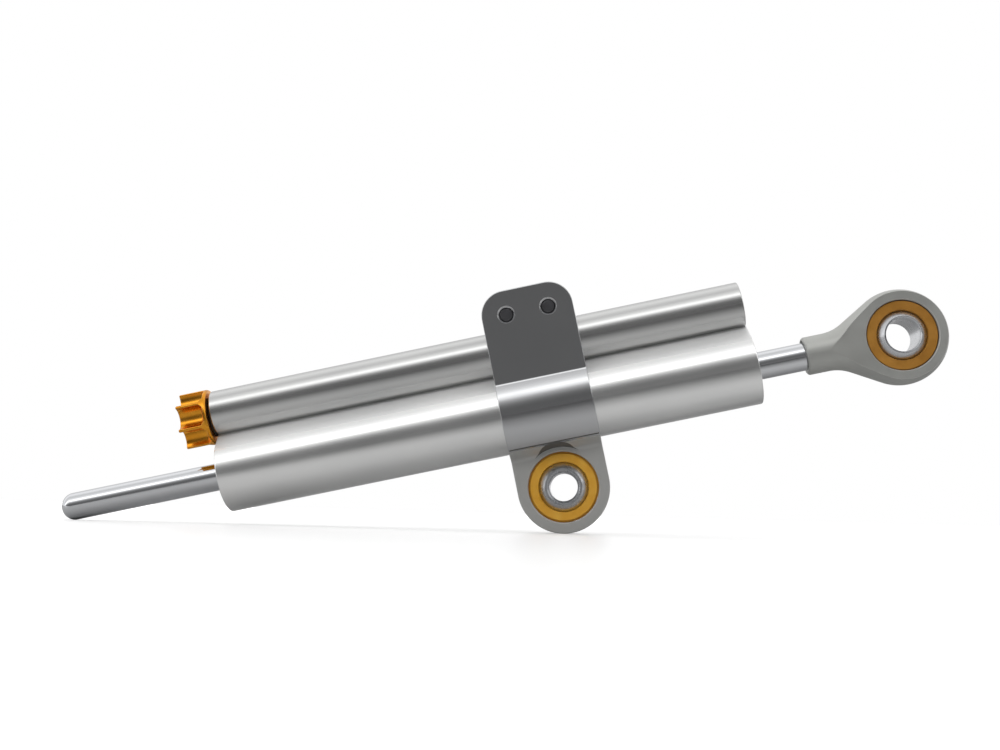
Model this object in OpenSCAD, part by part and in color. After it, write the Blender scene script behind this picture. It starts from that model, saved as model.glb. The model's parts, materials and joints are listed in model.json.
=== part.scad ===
// Steering damper for a motorcycle: a through rod damper with a bypass tube above it,
// a clamp with a spherical bearing round the body and a rod eye with a second one.
// X runs along the rod towards the eye, Z points from the rod to the bypass tube, and the
// origin is the centre of the clamp's bearing. All lengths are in millimetres.

/* [Body] */
// Length of the twin tube body
body_l = 156.3; // [140:0.1:180]
// Outer diameter of the main tube
tube_d = 21.5; // [20.5:0.1:23]
// Bore that the piston runs in
tube_bore = 17; // [15.5:0.1:17.4]
// Outer diameter of the bypass tube
reservoir_d = 13.2; // [12.6:0.1:14.4]
// Bore at both ends of the bypass tube
reservoir_bore = 9.2; // [8.8:0.1:9.8]
// Bore of the bypass tube between its end bores
bypass_bore = 6.4; // [4:0.1:7]
// Distance between the axes of the two tubes
tube_spacing = 18.4; // [18:0.1:21]
// Angle from level at which the flat sides of the web leave the main tube
web_angle = 42; // [38:1:46]
// Rounding of the outer corners at the tube ends
end_round = 0.4; // [0.2:0.1:1]
// Radius of the two ports between the tubes
port_r = 1.5; // [0.8:0.1:1.6]
// Distance of each port from its end of the body
port_in = 26; // [25:0.1:26.5]

/* [Rod] */
// Diameter of the piston rod
rod_d = 8; // [7:0.1:8.4]
// Rod that stands out of the body on the knob side
rod_out_left = 49.7; // [46:0.1:70]
// Rod between the body and the rod eye
rod_out_right = 14.3; // [8:0.1:30]
// Length of the rounded nose of the rod
nose_l = 3.7; // [2:0.1:6]
// Diameter of the stub that screws into the eye
stub_d = 6.6; // [5:0.1:6.8]
// Travel of the rod out of the body towards the eye
stroke_out = 43; // [20:0.5:50]

/* [Rod eye] */
// Distance from the rim of the neck to the centre of the bearing
neck_l = 27.1; // [26:0.1:36]
// Diameter of the neck
neck_d = 10.9; // [10.4:0.1:12]
// Diameter of the ball end that the eye is milled from
eye_d = 27.3; // [26.4:0.1:32]
// Thickness of the eye between its milled flats
eye_t = 11; // [10.4:0.1:12]
// Angle at which the neck flares into the ball end
flare_angle = 30; // [26:1:34]
// Radius of the hollow between the neck and the flare
flare_r = 12; // [6:0.5:14]
// Depth to which the full rod diameter enters the neck
socket_l = 3; // [1.5:0.1:4]
// Depth to which the stub reaches past that
stub_l = 10.8; // [6:0.1:11.2]

/* [Spherical bearings] */
// Diameter of both balls
ball_d = 16.4; // [16:0.1:16.8]
// Width of both balls across their flat faces
ball_w = 12.6; // [12:0.1:12.8]
// Outer diameter of both races
race_d = 20; // [19.4:0.1:20.4]
// Width of both races
race_w = 10; // [9:0.1:10.4]
// Radius of the mouth of a race at its face
race_mouth_r = 7.2; // [7:0.1:7.4]
// Bore of the ball in the clamp
clamp_ball_bore = 8; // [6:0.1:8.4]
// Bore of the ball in the rod eye
eye_ball_bore = 9.5; // [8:0.1:9.6]

/* [Clamp] */
// Distance from the knob end of the body to the middle of the clamp
clamp_at = 96; // [80:0.5:110]
// Height of the rod axis over the centre of the clamp bearing
bearing_drop = 22.9; // [22.4:0.1:26]
// Width of the clamp along the rod
clamp_w = 26.2; // [25:0.1:30]
// Thickness of the clamp where it holds the bypass tube
clamp_t = 22.4; // [21:0.1:25]
// Wall of the clamp round the main tube
clamp_wall = 3.2; // [2.4:0.1:4]
// Thickness of the lug that holds the bearing
lug_t = 11; // [10.4:0.1:12.6]
// Height of the clamp over the axis of the bypass tube
clamp_rise = 16.3; // [14:0.1:20]
// Radius of the two upper corners
corner_r = 7; // [3:0.1:8]
// Width of the slot that the screws pull together
slot_w = 2; // [1:0.1:3]
// Radius of the hollow between the plate and the bulge
plate_fillet_r = 1.5; // [0.8:0.1:2.5]
// Radius of the hollow between the bulge and the lug
lug_fillet_r = 2; // [1:0.1:3]
// Radius of the relief in the bulge at the face of the lug
relief_r = 11.3; // [10.8:0.1:12]
// Slope of the relief wall
relief_angle = 19; // [5:1:30]

/* [Clamp screws] */
// Thread diameter
screw_d = 4; // [3:0.1:4.4]
// Height of the screws over the axis of the bypass tube
screw_rise = 9.3; // [9.1:0.1:11]
// Distance between the two screws
screw_spacing = 12.1; // [10:0.1:14]
// Diameter of the screw heads
screw_head_d = 7; // [6:0.1:7.6]
// Height of the screw heads
screw_head_h = 4; // [3:0.1:5]
// Depth of the screw tips under the front face
screw_tip_in = 0.35; // [0.1:0.05:1]

/* [Knob] */
// Diameter over the lobes of the knob
knob_d = 16.6; // [15:0.1:20]
// Length of the knob
knob_l = 8.8; // [8.4:0.1:12]
// Number of lobes
knob_lobes = 7; // [5:1:8]
// Radius of each hollow between the lobes
scallop_r = 3.05; // [2:0.05:3.1]
// Depth of each hollow under the lobe tips
scallop_depth = 3.5; // [1.5:0.1:3.6]
// Length of the round flange next to the tube
knob_flange = 1.3; // [0.8:0.1:2]
// Gap between the knob and the end of the tube
knob_gap = 0.6; // [0.5:0.1:1]
// Distance of the adjuster's axis under the axis of the bypass tube
adjuster_drop = 0.9; // [0:0.1:1]
// Number of clicks in a turn
clicks_per_turn = 12; // [8:1:12]

/* [Adjuster valve] */
// Length of the valve body inside the tube
valve_l = 30.5; // [30.2:0.1:33]
// Length of the boss of the valve body inside the knob
boss_l = 4.2; // [3.6:0.1:4.6]
// Radius of that boss
boss_r = 3.4; // [3.2:0.05:3.6]
// Radius of the spindle under the knob
spindle_r = 1.5; // [1.2:0.05:1.6]
// Radius of the threaded part of the spindle
thread_r = 2.35; // [2.2:0.05:2.6]
// Radius of the needle
needle_r = 1.15; // [0.8:0.05:1.4]
// Travel of the needle each way
needle_travel = 0.75; // [0.3:0.05:0.8]
// Length of the brass seat
seat_l = 4; // [3:0.1:6]

/* [Compensator] */
// Length of the compensating piston
comp_l = 7; // [5:0.1:8]
// Distance of its spring face from the end of the tube
comp_at = 15.5; // [14:0.1:16.2]
// Length of the end plug
plug_l = 7; // [5:0.1:8]
// Depth of the spring recess in the compensating piston
comp_cup = 4.4; // [2:0.1:4.8]

/* [Seal heads] */
// Depth of the step that a seal head rests on
head_depth = 22.3; // [21:0.1:23]
// Depth of that step in the wall of the tube
head_step = 0.5; // [0.3:0.05:0.7]
// Thickness of the retaining rings
clip_t = 1; // [0.8:0.1:1.3]
// Depth of the retaining rings under the end of the tube
clip_in = 1.2; // [0.8:0.1:2]
// Length of the bush that guides the rod
bush_l = 9; // [6:0.1:9.5]

/* [Piston] */
// Length of the piston
piston_l = 12; // [9:0.1:16]
// Width of the glide ring
glide_w = 5; // [3:0.1:6]
// Number of ports through the piston
piston_ports = 6; // [3:1:8]

/* [Fits] */
// Radial gap between parts that run in each other
running_gap = 0.05; // [0.02:0.01:0.08]
// Radial gap between parts that are fixed in each other
seat_gap = 0.02; // [0.01:0.01:0.04]
// Axial gap between a part and the shoulder that holds it
shoulder_gap = 0.05; // [0.02:0.01:0.1]

/* [Hidden] */

// Segments of the round parts
round_fn = 96;
small_fn = 48;
// Degrees between the points of a small rounding
round_step = 15;
// Length by which a cut runs past what it cuts
past = 1;

// Places along the rod and heights of the axes
body_x0 = -clamp_at;
body_x1 = body_x0 + body_l;
rod_z = bearing_drop;
res_z = rod_z + tube_spacing;
adjuster_z = res_z - adjuster_drop;
rod_x0 = body_x0 - rod_out_left;
eye_rim_x = body_x1 + rod_out_right;
eye_x = eye_rim_x + neck_l;

// Radii of the tubes and the rod
tube_r = tube_d / 2;
bore_r = tube_bore / 2;
head_r = bore_r + head_step;
clip_groove_r = head_r + 0.5;
res_r = reservoir_d / 2;
res_bore_r = reservoir_bore / 2;
bypass_r = bypass_bore / 2;
rod_r = rod_d / 2;
stub_r = stub_d / 2;
stub_chamfer = 0.5;
web_sink = 0.02;

// Seal head, measured from its outer face
head_face = clip_in + clip_t + 2 * shoulder_gap;
head_l = head_depth - head_face;
wiper_r = rod_r + 2;
wiper_l = 3.2;
seal_at = 5;
seal_l = 3.2;
land_r = rod_r + 0.3;
bush_r = rod_r + 1;
cord_r = 0.72;
groove_d = 1.5;
groove_w = 1.8;
head_groove_at = 12;
lip_cut = 0.6;
wiper_lip_out = 0.2;
wiper_lip_in = 0.8;
wiper_lip_t = 0.3;
wiper_rim = 0.5;
clip_w = 2.6;
clip_slot = 5;
clip_ear_r = 1.3;
clip_ear_side = 1;
clip_ear_in = 0.2;
clip_hole_r = 0.6;

// Rod end in the eye
rod_l = rod_out_left + body_l + rod_out_right + socket_l;
nose_steps = 6;

// Eye
neck_r = neck_d / 2;
eye_r = eye_d / 2;
rim_round = 0.8;
mouth_r = rod_r + 0.8;
mouth_l = 1.1;
flare_x2 = neck_l - eye_r * sin(flare_angle);
flare_r2 = eye_r * cos(flare_angle);
flare_r1 = neck_r + flare_r * (1 - cos(flare_angle));
flare_x1 = flare_x2 - (flare_r2 - flare_r1) / tan(flare_angle);
flare_x0 = flare_x1 - flare_r * sin(flare_angle);
flare_steps = 10;

// Bearings
ball_r = ball_d / 2;
race_r = race_d / 2;
race_chamfer = 0.3;
mouth_depth = 1;
ball_face_r = sqrt(ball_r * ball_r - ball_w * ball_w / 4);
clamp_ball_land = 0.45;
eye_ball_land = 0.3;
seat_r = race_r + seat_gap;
seat_chamfer = 0.25;

// Clamp
grip_r = tube_r + seat_gap;
res_grip_r = res_r + seat_gap;
bulge_r = grip_r + clamp_wall;
clamp_top = res_z + clamp_rise;
lug_r = clamp_w / 2;
plate_y = clamp_t / 2;
lug_y = lug_t / 2;
plate_fillet_z = sqrt(pow(bulge_r + plate_fillet_r, 2) - pow(plate_y + plate_fillet_r, 2));
lug_fillet_z = sqrt(pow(bulge_r + lug_fillet_r, 2) - pow(lug_y + lug_fillet_r, 2));
hollow_play = 0.01;
screw_z = res_z + screw_rise;
screw_r = screw_d / 2;
head_sink = screw_head_h + 0.2;
head_gap = 0.2;
hole_chamfer = 0.5;
screw_chamfer = 0.3;
hex_share = 0.43;

// Knob, measured outwards from the end of the bypass tube
knob_r = knob_d / 2;
knob_end = knob_gap + knob_l;
knob_chamfer = 0.4;
scallop_at = knob_r - scallop_depth + scallop_r;
scallop_start = knob_gap + knob_flange;
scallop_run = 1.2;
first_lobe = 42;
cavity_floor = boss_l + 0.3;
cavity_r = boss_r + running_gap;
hex_r = spindle_r - 0.06;
hex_hole_r = hex_r + 0.08;
hex_start = 3.6;
hex_end = knob_end - needle_travel - 0.2;
dish_r = 2.8;
dish_l = 0.6;
click_r = (spindle_r + boss_r) / 2 + 0.05;
click_rise = 0.1;
detent_r = 0.5;
detent_z = cavity_floor + 0.2 - detent_r;
detent_hole_at = 1;
detent_wire_r = 0.12;
detent_turns = 5;
grub_r = 1;
grub_at = (knob_gap + cavity_floor) / 2;
grub_angle = first_lobe + 180 / knob_lobes;
grub_groove = 0.5;
grub_tip_gap = 0.1;
grub_socket_r = 0.55;
grub_socket_l = 0.6;

// Valve, measured inwards from the end of the bypass tube
flange_r = 5.3;
flange_l = knob_gap - 0.1;
valve_r = res_bore_r - seat_gap;
valve_bore_l = valve_l + seat_l + 2 * shoulder_gap;
gland_at = 5;
chamber_at = 21;
chamber_r = 2.9;
valve_ring_at = 8;
ring_cord_r = 0.54;
ring_groove_d = 1.13;
oil_groove_w = 3.4;
oil_groove_d = 0.7;
oil_hole_r = 1.1;
oil_holes = 4;
orifice_r = needle_r + running_gap;
needle_start = valve_l - needle_travel;
needle_tip_l = 3.4;
needle_tip_r = 0.3;
spindle_play = 0.1;
gland_groove_at = 8.5;
gland_groove_d = 0.8;
gland_groove_w = 1.2;
gland_cord_r = 0.38;

// Compensator, measured inwards from the eye end of the bypass tube
plug_in = 0.3;
plug_face = plug_in + plug_l;
comp_bore_l = port_in + port_r + 0.5;
comp_r = res_bore_r - running_gap;
cup_r = 3.5;
spring_wire_r = 0.35;
spring_turns = 7;
spring_r = cup_r - spring_wire_r - 0.25;
spring_l = comp_at + comp_cup - plug_face - 2 * shoulder_gap;
comp_cord_r = 0.42;
comp_groove_d = 0.9;
comp_groove_w = 1.1;
comp_groove_at = comp_at + comp_l - 1.15;
plug_groove_at = plug_face - 1.7;
plug_hex_r = 2.4;
plug_mouth_r = 3.4;
plug_mouth_l = 1;

// Piston and its place on the rod
piston_r = bore_r - 0.15;
glide_d = 1.1;
piston_bore_r = rod_r + seat_gap;
shim_t = 0.3;
shim_r = piston_r - 1.2;
port_ring_r = rod_r + 1.95;
piston_port_r = 0.75;
piston_cord_r = 0.46;
piston_cord_gap = 0.04;
piston_groove_play = 0.4;
rod_groove_d = 0.5;
piston_clip_t = 0.9;
piston_clip_w = 1.9;
stack_half = piston_l / 2 + shim_t + piston_clip_t + 2 * shoulder_gap;
stop_gap = 0.3;
piston_x = body_x1 - head_depth - stroke_out - stop_gap - stack_half;

// Places children at a point of an axis along X, with their own Z along the axis
module along_x(x, z) {
    translate([x, 0, z]) rotate([0, 90, 0]) children();
}

// Places children on an axis across the damper, with their own Z towards the back
module across(x, z) {
    translate([x, 0, z]) rotate([-90, 0, 0]) children();
}

// Places children at the left or right end of the main tube, measured inwards
module at_end(side) {
    if (side == "left") along_x(body_x0, rod_z) children();
    if (side == "right") translate([body_x1, 0, 0]) mirror([1, 0, 0]) along_x(0, rod_z) children();
}

// Places children at the knob end on the adjuster's axis, measured inwards or outwards
module valve_in() {
    along_x(body_x0, adjuster_z) children();
}

module valve_out() {
    translate([body_x0, 0, adjuster_z]) rotate([0, -90, 0]) children();
}

// Places children at the eye end of the bypass tube, measured inwards
module plug_end() {
    translate([body_x1, 0, res_z]) rotate([0, -90, 0]) children();
}

// Round bar and pipe that start at a height of their own axis
module bar(r, at, l, fn = round_fn) {
    translate([0, 0, at]) cylinder(r = r, h = l, $fn = fn);
}

module pipe(r_out, r_in, at, l, fn = round_fn) {
    difference() {
        bar(r_out, at, l, fn);
        bar(r_in, at - past, l + 2 * past, fn);
    }
}

// Cone that widens from one radius to another
module cone(r1, r2, at, l, fn = round_fn) {
    translate([0, 0, at]) cylinder(r1 = r1, r2 = r2, h = l, $fn = fn);
}

// Ring of round cord
module cord_ring(ring_r, r, at) {
    translate([0, 0, at]) rotate_extrude($fn = round_fn)
        translate([ring_r, 0]) circle(r = r, $fn = small_fn);
}

// Bar along X with rounded outer corners at both ends
module round_bar(r, l, c) {
    rotate_extrude($fn = round_fn) polygon(concat(
        [[0, 0]],
        [for (a = [0:round_step:90]) [r - c + c * sin(a), c - c * cos(a)]],
        [for (a = [0:round_step:90]) [r - c + c * cos(a), l - c + c * sin(a)]],
        [[0, l]]
    ));
}

// Outline of the web seen along the rod: a roof whose flat sides leave a round of radius r
module web_outline(r) {
    side = r * cos(web_angle);
    rise = r * sin(web_angle);
    polygon([[0, 0], [side, rise], [0, r / sin(web_angle)], [-side, rise]]);
}

// One unbroken tube along a helix about Z, as a list of points ring by ring
wire_sides = 6;
rings_per_turn = 12;

function helix_ring(r, wire, pitch, i) =
    let (turn = i / rings_per_turn, a = 360 * turn)
    [for (k = [0:wire_sides - 1])
        let (b = 360 * k / wire_sides)
        [(r + wire * cos(b)) * cos(a), (r + wire * cos(b)) * sin(a), pitch * turn + wire * sin(b)]];

function helix_points(r, wire, pitch, turns) =
    [for (i = [0:turns * rings_per_turn]) each helix_ring(r, wire, pitch, i)];

function helix_faces(rings) = concat(
    [for (k = [1:wire_sides - 2]) [0, k, k + 1]],
    [for (i = [0:rings - 2]) for (k = [0:wire_sides - 1])
        let (a = i * wire_sides + k, b = i * wire_sides + (k + 1) % wire_sides)
        each [[a, a + wire_sides, b], [b, a + wire_sides, b + wire_sides]]],
    [for (k = [1:wire_sides - 2])
        let (last = (rings - 1) * wire_sides)
        [last, last + k + 1, last + k]]
);

// Coil spring between two seats
module coil_spring(r, wire, at, l, turns) {
    pitch = (l - 2 * wire) / turns;
    translate([0, 0, at + wire]) polyhedron(
        helix_points(r, wire, pitch, turns),
        helix_faces(turns * rings_per_turn + 1)
    );
}

// Main tube and bypass tube in one piece, with the bores, ports and grooves that hold the rest
module body() {
    color("silver") difference() {
        union() {
            along_x(body_x0, rod_z) round_bar(tube_r, body_l, end_round);
            along_x(body_x0, res_z) round_bar(res_r, body_l, end_round);
            translate([body_x0, 0, rod_z]) rotate([90, 0, 90]) linear_extrude(body_l)
                web_outline(tube_r - web_sink);
        }
        along_x(body_x0, rod_z) bar(bore_r, -past, body_l + 2 * past);
        for (side = ["left", "right"]) {
            at_end(side) bar(head_r, -past, past + head_depth);
            at_end(side) bar(clip_groove_r, clip_in, clip_t + 2 * shoulder_gap);
        }
        along_x(body_x0, res_z) bar(bypass_r, -past, body_l + 2 * past);
        valve_in() bar(res_bore_r, -past, past + valve_bore_l);
        plug_end() bar(res_bore_r, -past, past + comp_bore_l);
        for (x = [body_x0 + port_in, body_x1 - port_in])
            translate([x, 0, rod_z]) bar(port_r, 0, tube_spacing, small_fn);
    }
}

// Runs an outline seen along the rod through the width of the clamp
module run_through() {
    translate([-lug_r, 0, 0]) rotate([90, 0, 90]) linear_extrude(clamp_w) children();
}

// Block of the clamp: plate, bulge and lug with hollows between them
module clamp_block() {
    run_through() translate([-plate_y, rod_z]) square([clamp_t, clamp_top - rod_z]);
    along_x(-lug_r, rod_z) bar(bulge_r, 0, clamp_w);
    run_through() translate([-lug_y, -lug_r]) square([lug_t, rod_z + lug_r]);
    for (side = [-1, 1]) {
        hollow(side, plate_y, plate_fillet_r, rod_z + plate_fillet_z);
        hollow(side, lug_y, lug_fillet_r, rod_z - lug_fillet_z);
    }
}

// Fills the corner between a flat face and the bulge with a round hollow
module hollow(side, face, r, z) {
    centre = [side * (face + r), z];
    touch = [0, rod_z] + bulge_r / (bulge_r + r) * (centre - [0, rod_z]);
    difference() {
        run_through() polygon([[side * face, z], centre, touch, [0, rod_z]]);
        translate([0, centre[0], 0]) along_x(-lug_r, z)
            bar(r + hollow_play, -past, clamp_w + 2 * past, small_fn);
    }
}

// Outline of the clamp seen from the front: round lug below, rounded corners above
module clamp_front() {
    circle(r = lug_r, $fn = round_fn);
    translate([-lug_r, 0]) square([clamp_w, clamp_top - corner_r]);
    translate([corner_r - lug_r, clamp_top - corner_r]) square([clamp_w - 2 * corner_r, corner_r]);
    for (side = [-1, 1])
        translate([side * (lug_r - corner_r), clamp_top - corner_r]) circle(r = corner_r, $fn = small_fn);
}

// Clamp milled from one block, split at the top and bored for both tubes and the bearing
module clamp() {
    color("lightgray") difference() {
        intersection() {
            clamp_block();
            translate([0, bulge_r + past, 0]) rotate([90, 0, 0])
                linear_extrude(2 * (bulge_r + past)) clamp_front();
        }
        along_x(-lug_r, rod_z) bar(grip_r, -past, clamp_w + 2 * past);
        along_x(-lug_r, res_z) bar(res_grip_r, -past, clamp_w + 2 * past);
        translate([-lug_r - past, 0, rod_z]) rotate([90, 0, 90]) linear_extrude(clamp_w + 2 * past)
            web_outline(grip_r - web_sink);
        translate([-lug_r - past, -slot_w / 2, res_z])
            cube([clamp_w + 2 * past, slot_w, clamp_rise + past]);
        across(0, 0) bar(seat_r, -bulge_r, 2 * bulge_r);
        for (back = [0, 1]) mirror([0, back, 0]) across(0, 0) {
            cone(relief_r, relief_r + bulge_r * tan(relief_angle), lug_y, bulge_r);
            cone(seat_r, seat_r + seat_chamfer + past, lug_y - seat_chamfer, seat_chamfer + past);
        }
        for (x = [-screw_spacing / 2, screw_spacing / 2]) across(x, screw_z) {
            bar(screw_r + seat_gap, -plate_y - past, clamp_t + 2 * past, small_fn);
            bar(screw_head_d / 2 + head_gap, plate_y - head_sink, head_sink + past, small_fn);
            cone(screw_r + hole_chamfer + past, screw_r, -plate_y - past, past + hole_chamfer, small_fn);
        }
    }
}

// Two socket head screws, put in from the back and tapped into the front half of the clamp
module clamp_screws() {
    shank_l = clamp_t - head_sink - screw_tip_in;
    color("dimgray") for (x = [-screw_spacing / 2, screw_spacing / 2]) across(x, screw_z) {
        translate([0, 0, plate_y - head_sink]) difference() {
            union() {
                cylinder(r = screw_head_d / 2, h = screw_head_h - screw_chamfer, $fn = small_fn);
                cone(screw_head_d / 2, screw_head_d / 2 - screw_chamfer, screw_head_h - screw_chamfer,
                    screw_chamfer, small_fn);
                bar(screw_r, screw_chamfer - shank_l, shank_l - screw_chamfer + screw_head_h / 2, small_fn);
                cone(screw_r - screw_chamfer, screw_r, -shank_l, screw_chamfer, small_fn);
            }
            translate([0, 0, screw_head_h / 2])
                cylinder(r = screw_d * hex_share, h = screw_head_h, $fn = 6);
        }
    }
}

// Outer ring of a spherical bearing, hollow to the ball that turns in it
module race(x, z) {
    across(x, z) difference() {
        translate([0, 0, -race_w / 2]) rotate_extrude($fn = round_fn) polygon([
            [0, 0],
            [race_r - race_chamfer, 0],
            [race_r, race_chamfer],
            [race_r, race_w - race_chamfer],
            [race_r - race_chamfer, race_w],
            [0, race_w]
        ]);
        sphere(r = ball_r + running_gap, $fn = round_fn);
        bar(race_mouth_r - mouth_depth, -race_w, 2 * race_w);
        for (back = [0, 1]) mirror([0, 0, back])
            cone(race_mouth_r - mouth_depth, race_mouth_r + past, race_w / 2 - mouth_depth,
                mouth_depth + past);
    }
}

// Ball of a spherical bearing, cut flat on both sides and bored, with a flat land round the bore
module ball(x, z, bore, land) {
    chamfer = (ball_face_r - bore / 2) * (1 - land);
    across(x, z) difference() {
        intersection() {
            sphere(r = ball_r, $fn = round_fn);
            bar(ball_r, -ball_w / 2, ball_w);
        }
        bar(bore / 2, -ball_w, 2 * ball_w);
        for (back = [0, 1]) mirror([0, 0, back])
            cone(bore / 2, bore / 2 + chamfer + past, ball_w / 2 - chamfer, chamfer + past);
    }
}

module clamp_race() {
    color("goldenrod") race(0, 0);
}

module clamp_ball() {
    color("gainsboro") ball(0, 0, clamp_ball_bore, clamp_ball_land);
}

module eye_race() {
    color("darkgoldenrod") race(eye_x, rod_z);
}

module eye_ball() {
    color("gainsboro") ball(eye_x, rod_z, eye_ball_bore, eye_ball_land);
}

// Seal head: guides and seals the rod, with pockets for the wiper, the seal and the bush
module seal_head(side) {
    at_end(side) translate([0, 0, head_face]) difference() {
        bar(head_r - seat_gap, 0, head_l);
        bar(land_r, -past, head_l + 2 * past);
        bar(wiper_r + seat_gap, -past, past + wiper_l);
        bar(wiper_r + seat_gap, seal_at, seal_l);
        bar(bush_r + seat_gap, head_l - bush_l, bush_l + past);
        pipe(head_r + past, head_r - groove_d, head_groove_at - groove_w / 2, groove_w);
    }
}

module seal_head_left() {
    color("darkgray") seal_head("left");
}

module seal_head_right() {
    color("darkgray") seal_head("right");
}

// Bronze bush at the inner end of a seal head
module rod_bush(side) {
    at_end(side) pipe(bush_r, rod_r + running_gap, head_depth - bush_l, bush_l);
}

module rod_bush_left() {
    color("peru") rod_bush("left");
}

module rod_bush_right() {
    color("peru") rod_bush("right");
}

// Rod seal with its lips turned towards the oil
module rod_seal(side) {
    lip_l = seal_l / 2;
    at_end(side) translate([0, 0, head_face + seal_at]) difference() {
        pipe(wiper_r, rod_r + running_gap, shoulder_gap, seal_l - 2 * shoulder_gap);
        pipe(wiper_r - lip_cut, rod_r + lip_cut, seal_l - lip_l, lip_l + past);
    }
}

module rod_seal_left() {
    color("black") rod_seal("left");
}

module rod_seal_right() {
    color("black") rod_seal("right");
}

// Wiper with a lip that points out of the tube
module rod_wiper(side) {
    lip_l = wiper_l / 3;
    mouth_slope = (wiper_lip_in - wiper_lip_out) / lip_l;
    at_end(side) translate([0, 0, head_face]) difference() {
        pipe(wiper_r, rod_r + running_gap, 0, wiper_l - shoulder_gap);
        cone(rod_r + wiper_lip_in + mouth_slope * past, rod_r + wiper_lip_out, -past, past + lip_l);
        pipe(wiper_r - wiper_rim, rod_r + wiper_lip_in + wiper_lip_t, -past, past + lip_l);
    }
}

module rod_wiper_left() {
    color("black") rod_wiper("left");
}

module rod_wiper_right() {
    color("black") rod_wiper("right");
}

module head_o_ring(side) {
    at_end(side) cord_ring(head_r - groove_d / 2, cord_r, head_face + head_groove_at);
}

module head_o_ring_left() {
    color("black") head_o_ring("left");
}

module head_o_ring_right() {
    color("black") head_o_ring("right");
}

// Retaining ring in the groove of the tube, open on one side and with two ears for the pliers
module retaining_ring(side) {
    ring_r = clip_groove_r - seat_gap;
    ear_x = ring_r - clip_w - clip_ear_in;
    ear_y = clip_slot / 2 + clip_ear_side;
    at_end(side) translate([0, 0, clip_in + shoulder_gap]) difference() {
        union() {
            difference() {
                pipe(ring_r, ring_r - clip_w, 0, clip_t);
                translate([0, -clip_slot / 2, -past]) cube([2 * ring_r, clip_slot, clip_t + 2 * past]);
            }
            for (y = [-ear_y, ear_y]) translate([ear_x, y, 0]) bar(clip_ear_r, 0, clip_t, small_fn);
        }
        for (y = [-ear_y, ear_y])
            translate([ear_x, y, 0]) bar(clip_hole_r, -past, clip_t + 2 * past, small_fn);
    }
}

module retaining_ring_left() {
    color("slategray") retaining_ring("left");
}

module retaining_ring_right() {
    color("slategray") retaining_ring("right");
}

// Through rod with a rounded nose, two clip grooves and a stub that screws into the eye
module piston_rod() {
    nose = [for (i = [1:nose_steps])
        let (a = 90 * i / nose_steps)
        [rod_r * sin(a), nose_l * (1 - cos(a))]];
    color("gainsboro") difference() {
        along_x(rod_x0, rod_z) rotate_extrude($fn = round_fn) polygon(concat(
            [[0, nose[0][1]]],
            nose,
            [
                [rod_r, rod_l - shoulder_gap],
                [stub_r, rod_l - shoulder_gap],
                [stub_r, rod_l + stub_l - stub_chamfer],
                [stub_r - stub_chamfer, rod_l + stub_l],
                [0, rod_l + stub_l]
            ]
        ));
        for (back = [0, 1]) along_x(piston_x, rod_z) mirror([0, 0, back])
            pipe(rod_r + past, rod_r - rod_groove_d, piston_l / 2 + shim_t, piston_clip_t + 2 * shoulder_gap);
    }
}

// Piston with a groove for the glide ring, ports and an inner groove for its seal
module piston() {
    color("tan") along_x(piston_x, rod_z) difference() {
        pipe(piston_r, piston_bore_r, -piston_l / 2, piston_l);
        pipe(piston_r + past, piston_r - glide_d, -glide_w / 2 - shoulder_gap, glide_w + 2 * shoulder_gap);
        bar(rod_r + 2 * (piston_cord_r + piston_cord_gap), -piston_cord_r - piston_groove_play / 2,
            2 * piston_cord_r + piston_groove_play);
        for (i = [0:piston_ports - 1]) rotate(360 * i / piston_ports)
            translate([port_ring_r, 0, 0]) bar(piston_port_r, -piston_l, 2 * piston_l, small_fn);
    }
}

module piston_glide_ring() {
    color("saddlebrown") along_x(piston_x, rod_z)
        pipe(bore_r - running_gap, piston_r - glide_d + seat_gap, -glide_w / 2, glide_w);
}

module piston_o_ring() {
    color("black") along_x(piston_x, rod_z)
        cord_ring(rod_r + piston_cord_r + piston_cord_gap, piston_cord_r, 0);
}

// One thin steel shim on each face of the piston
module piston_shims() {
    color("lightsteelblue") for (back = [0, 1]) along_x(piston_x, rod_z) mirror([0, 0, back])
        pipe(shim_r, piston_bore_r, piston_l / 2, shim_t);
}

// Two open rings in the grooves of the rod that hold the piston and its shims
module piston_clips() {
    color("slategray") for (back = [0, 1]) along_x(piston_x, rod_z) mirror([0, 0, back]) difference() {
        pipe(rod_r + piston_clip_w - rod_groove_d, rod_r - rod_groove_d + seat_gap,
            piston_l / 2 + shim_t + shoulder_gap, piston_clip_t);
        translate([0, -rod_r / 2, 0]) cube([2 * rod_r, rod_r, piston_l]);
    }
}

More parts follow.
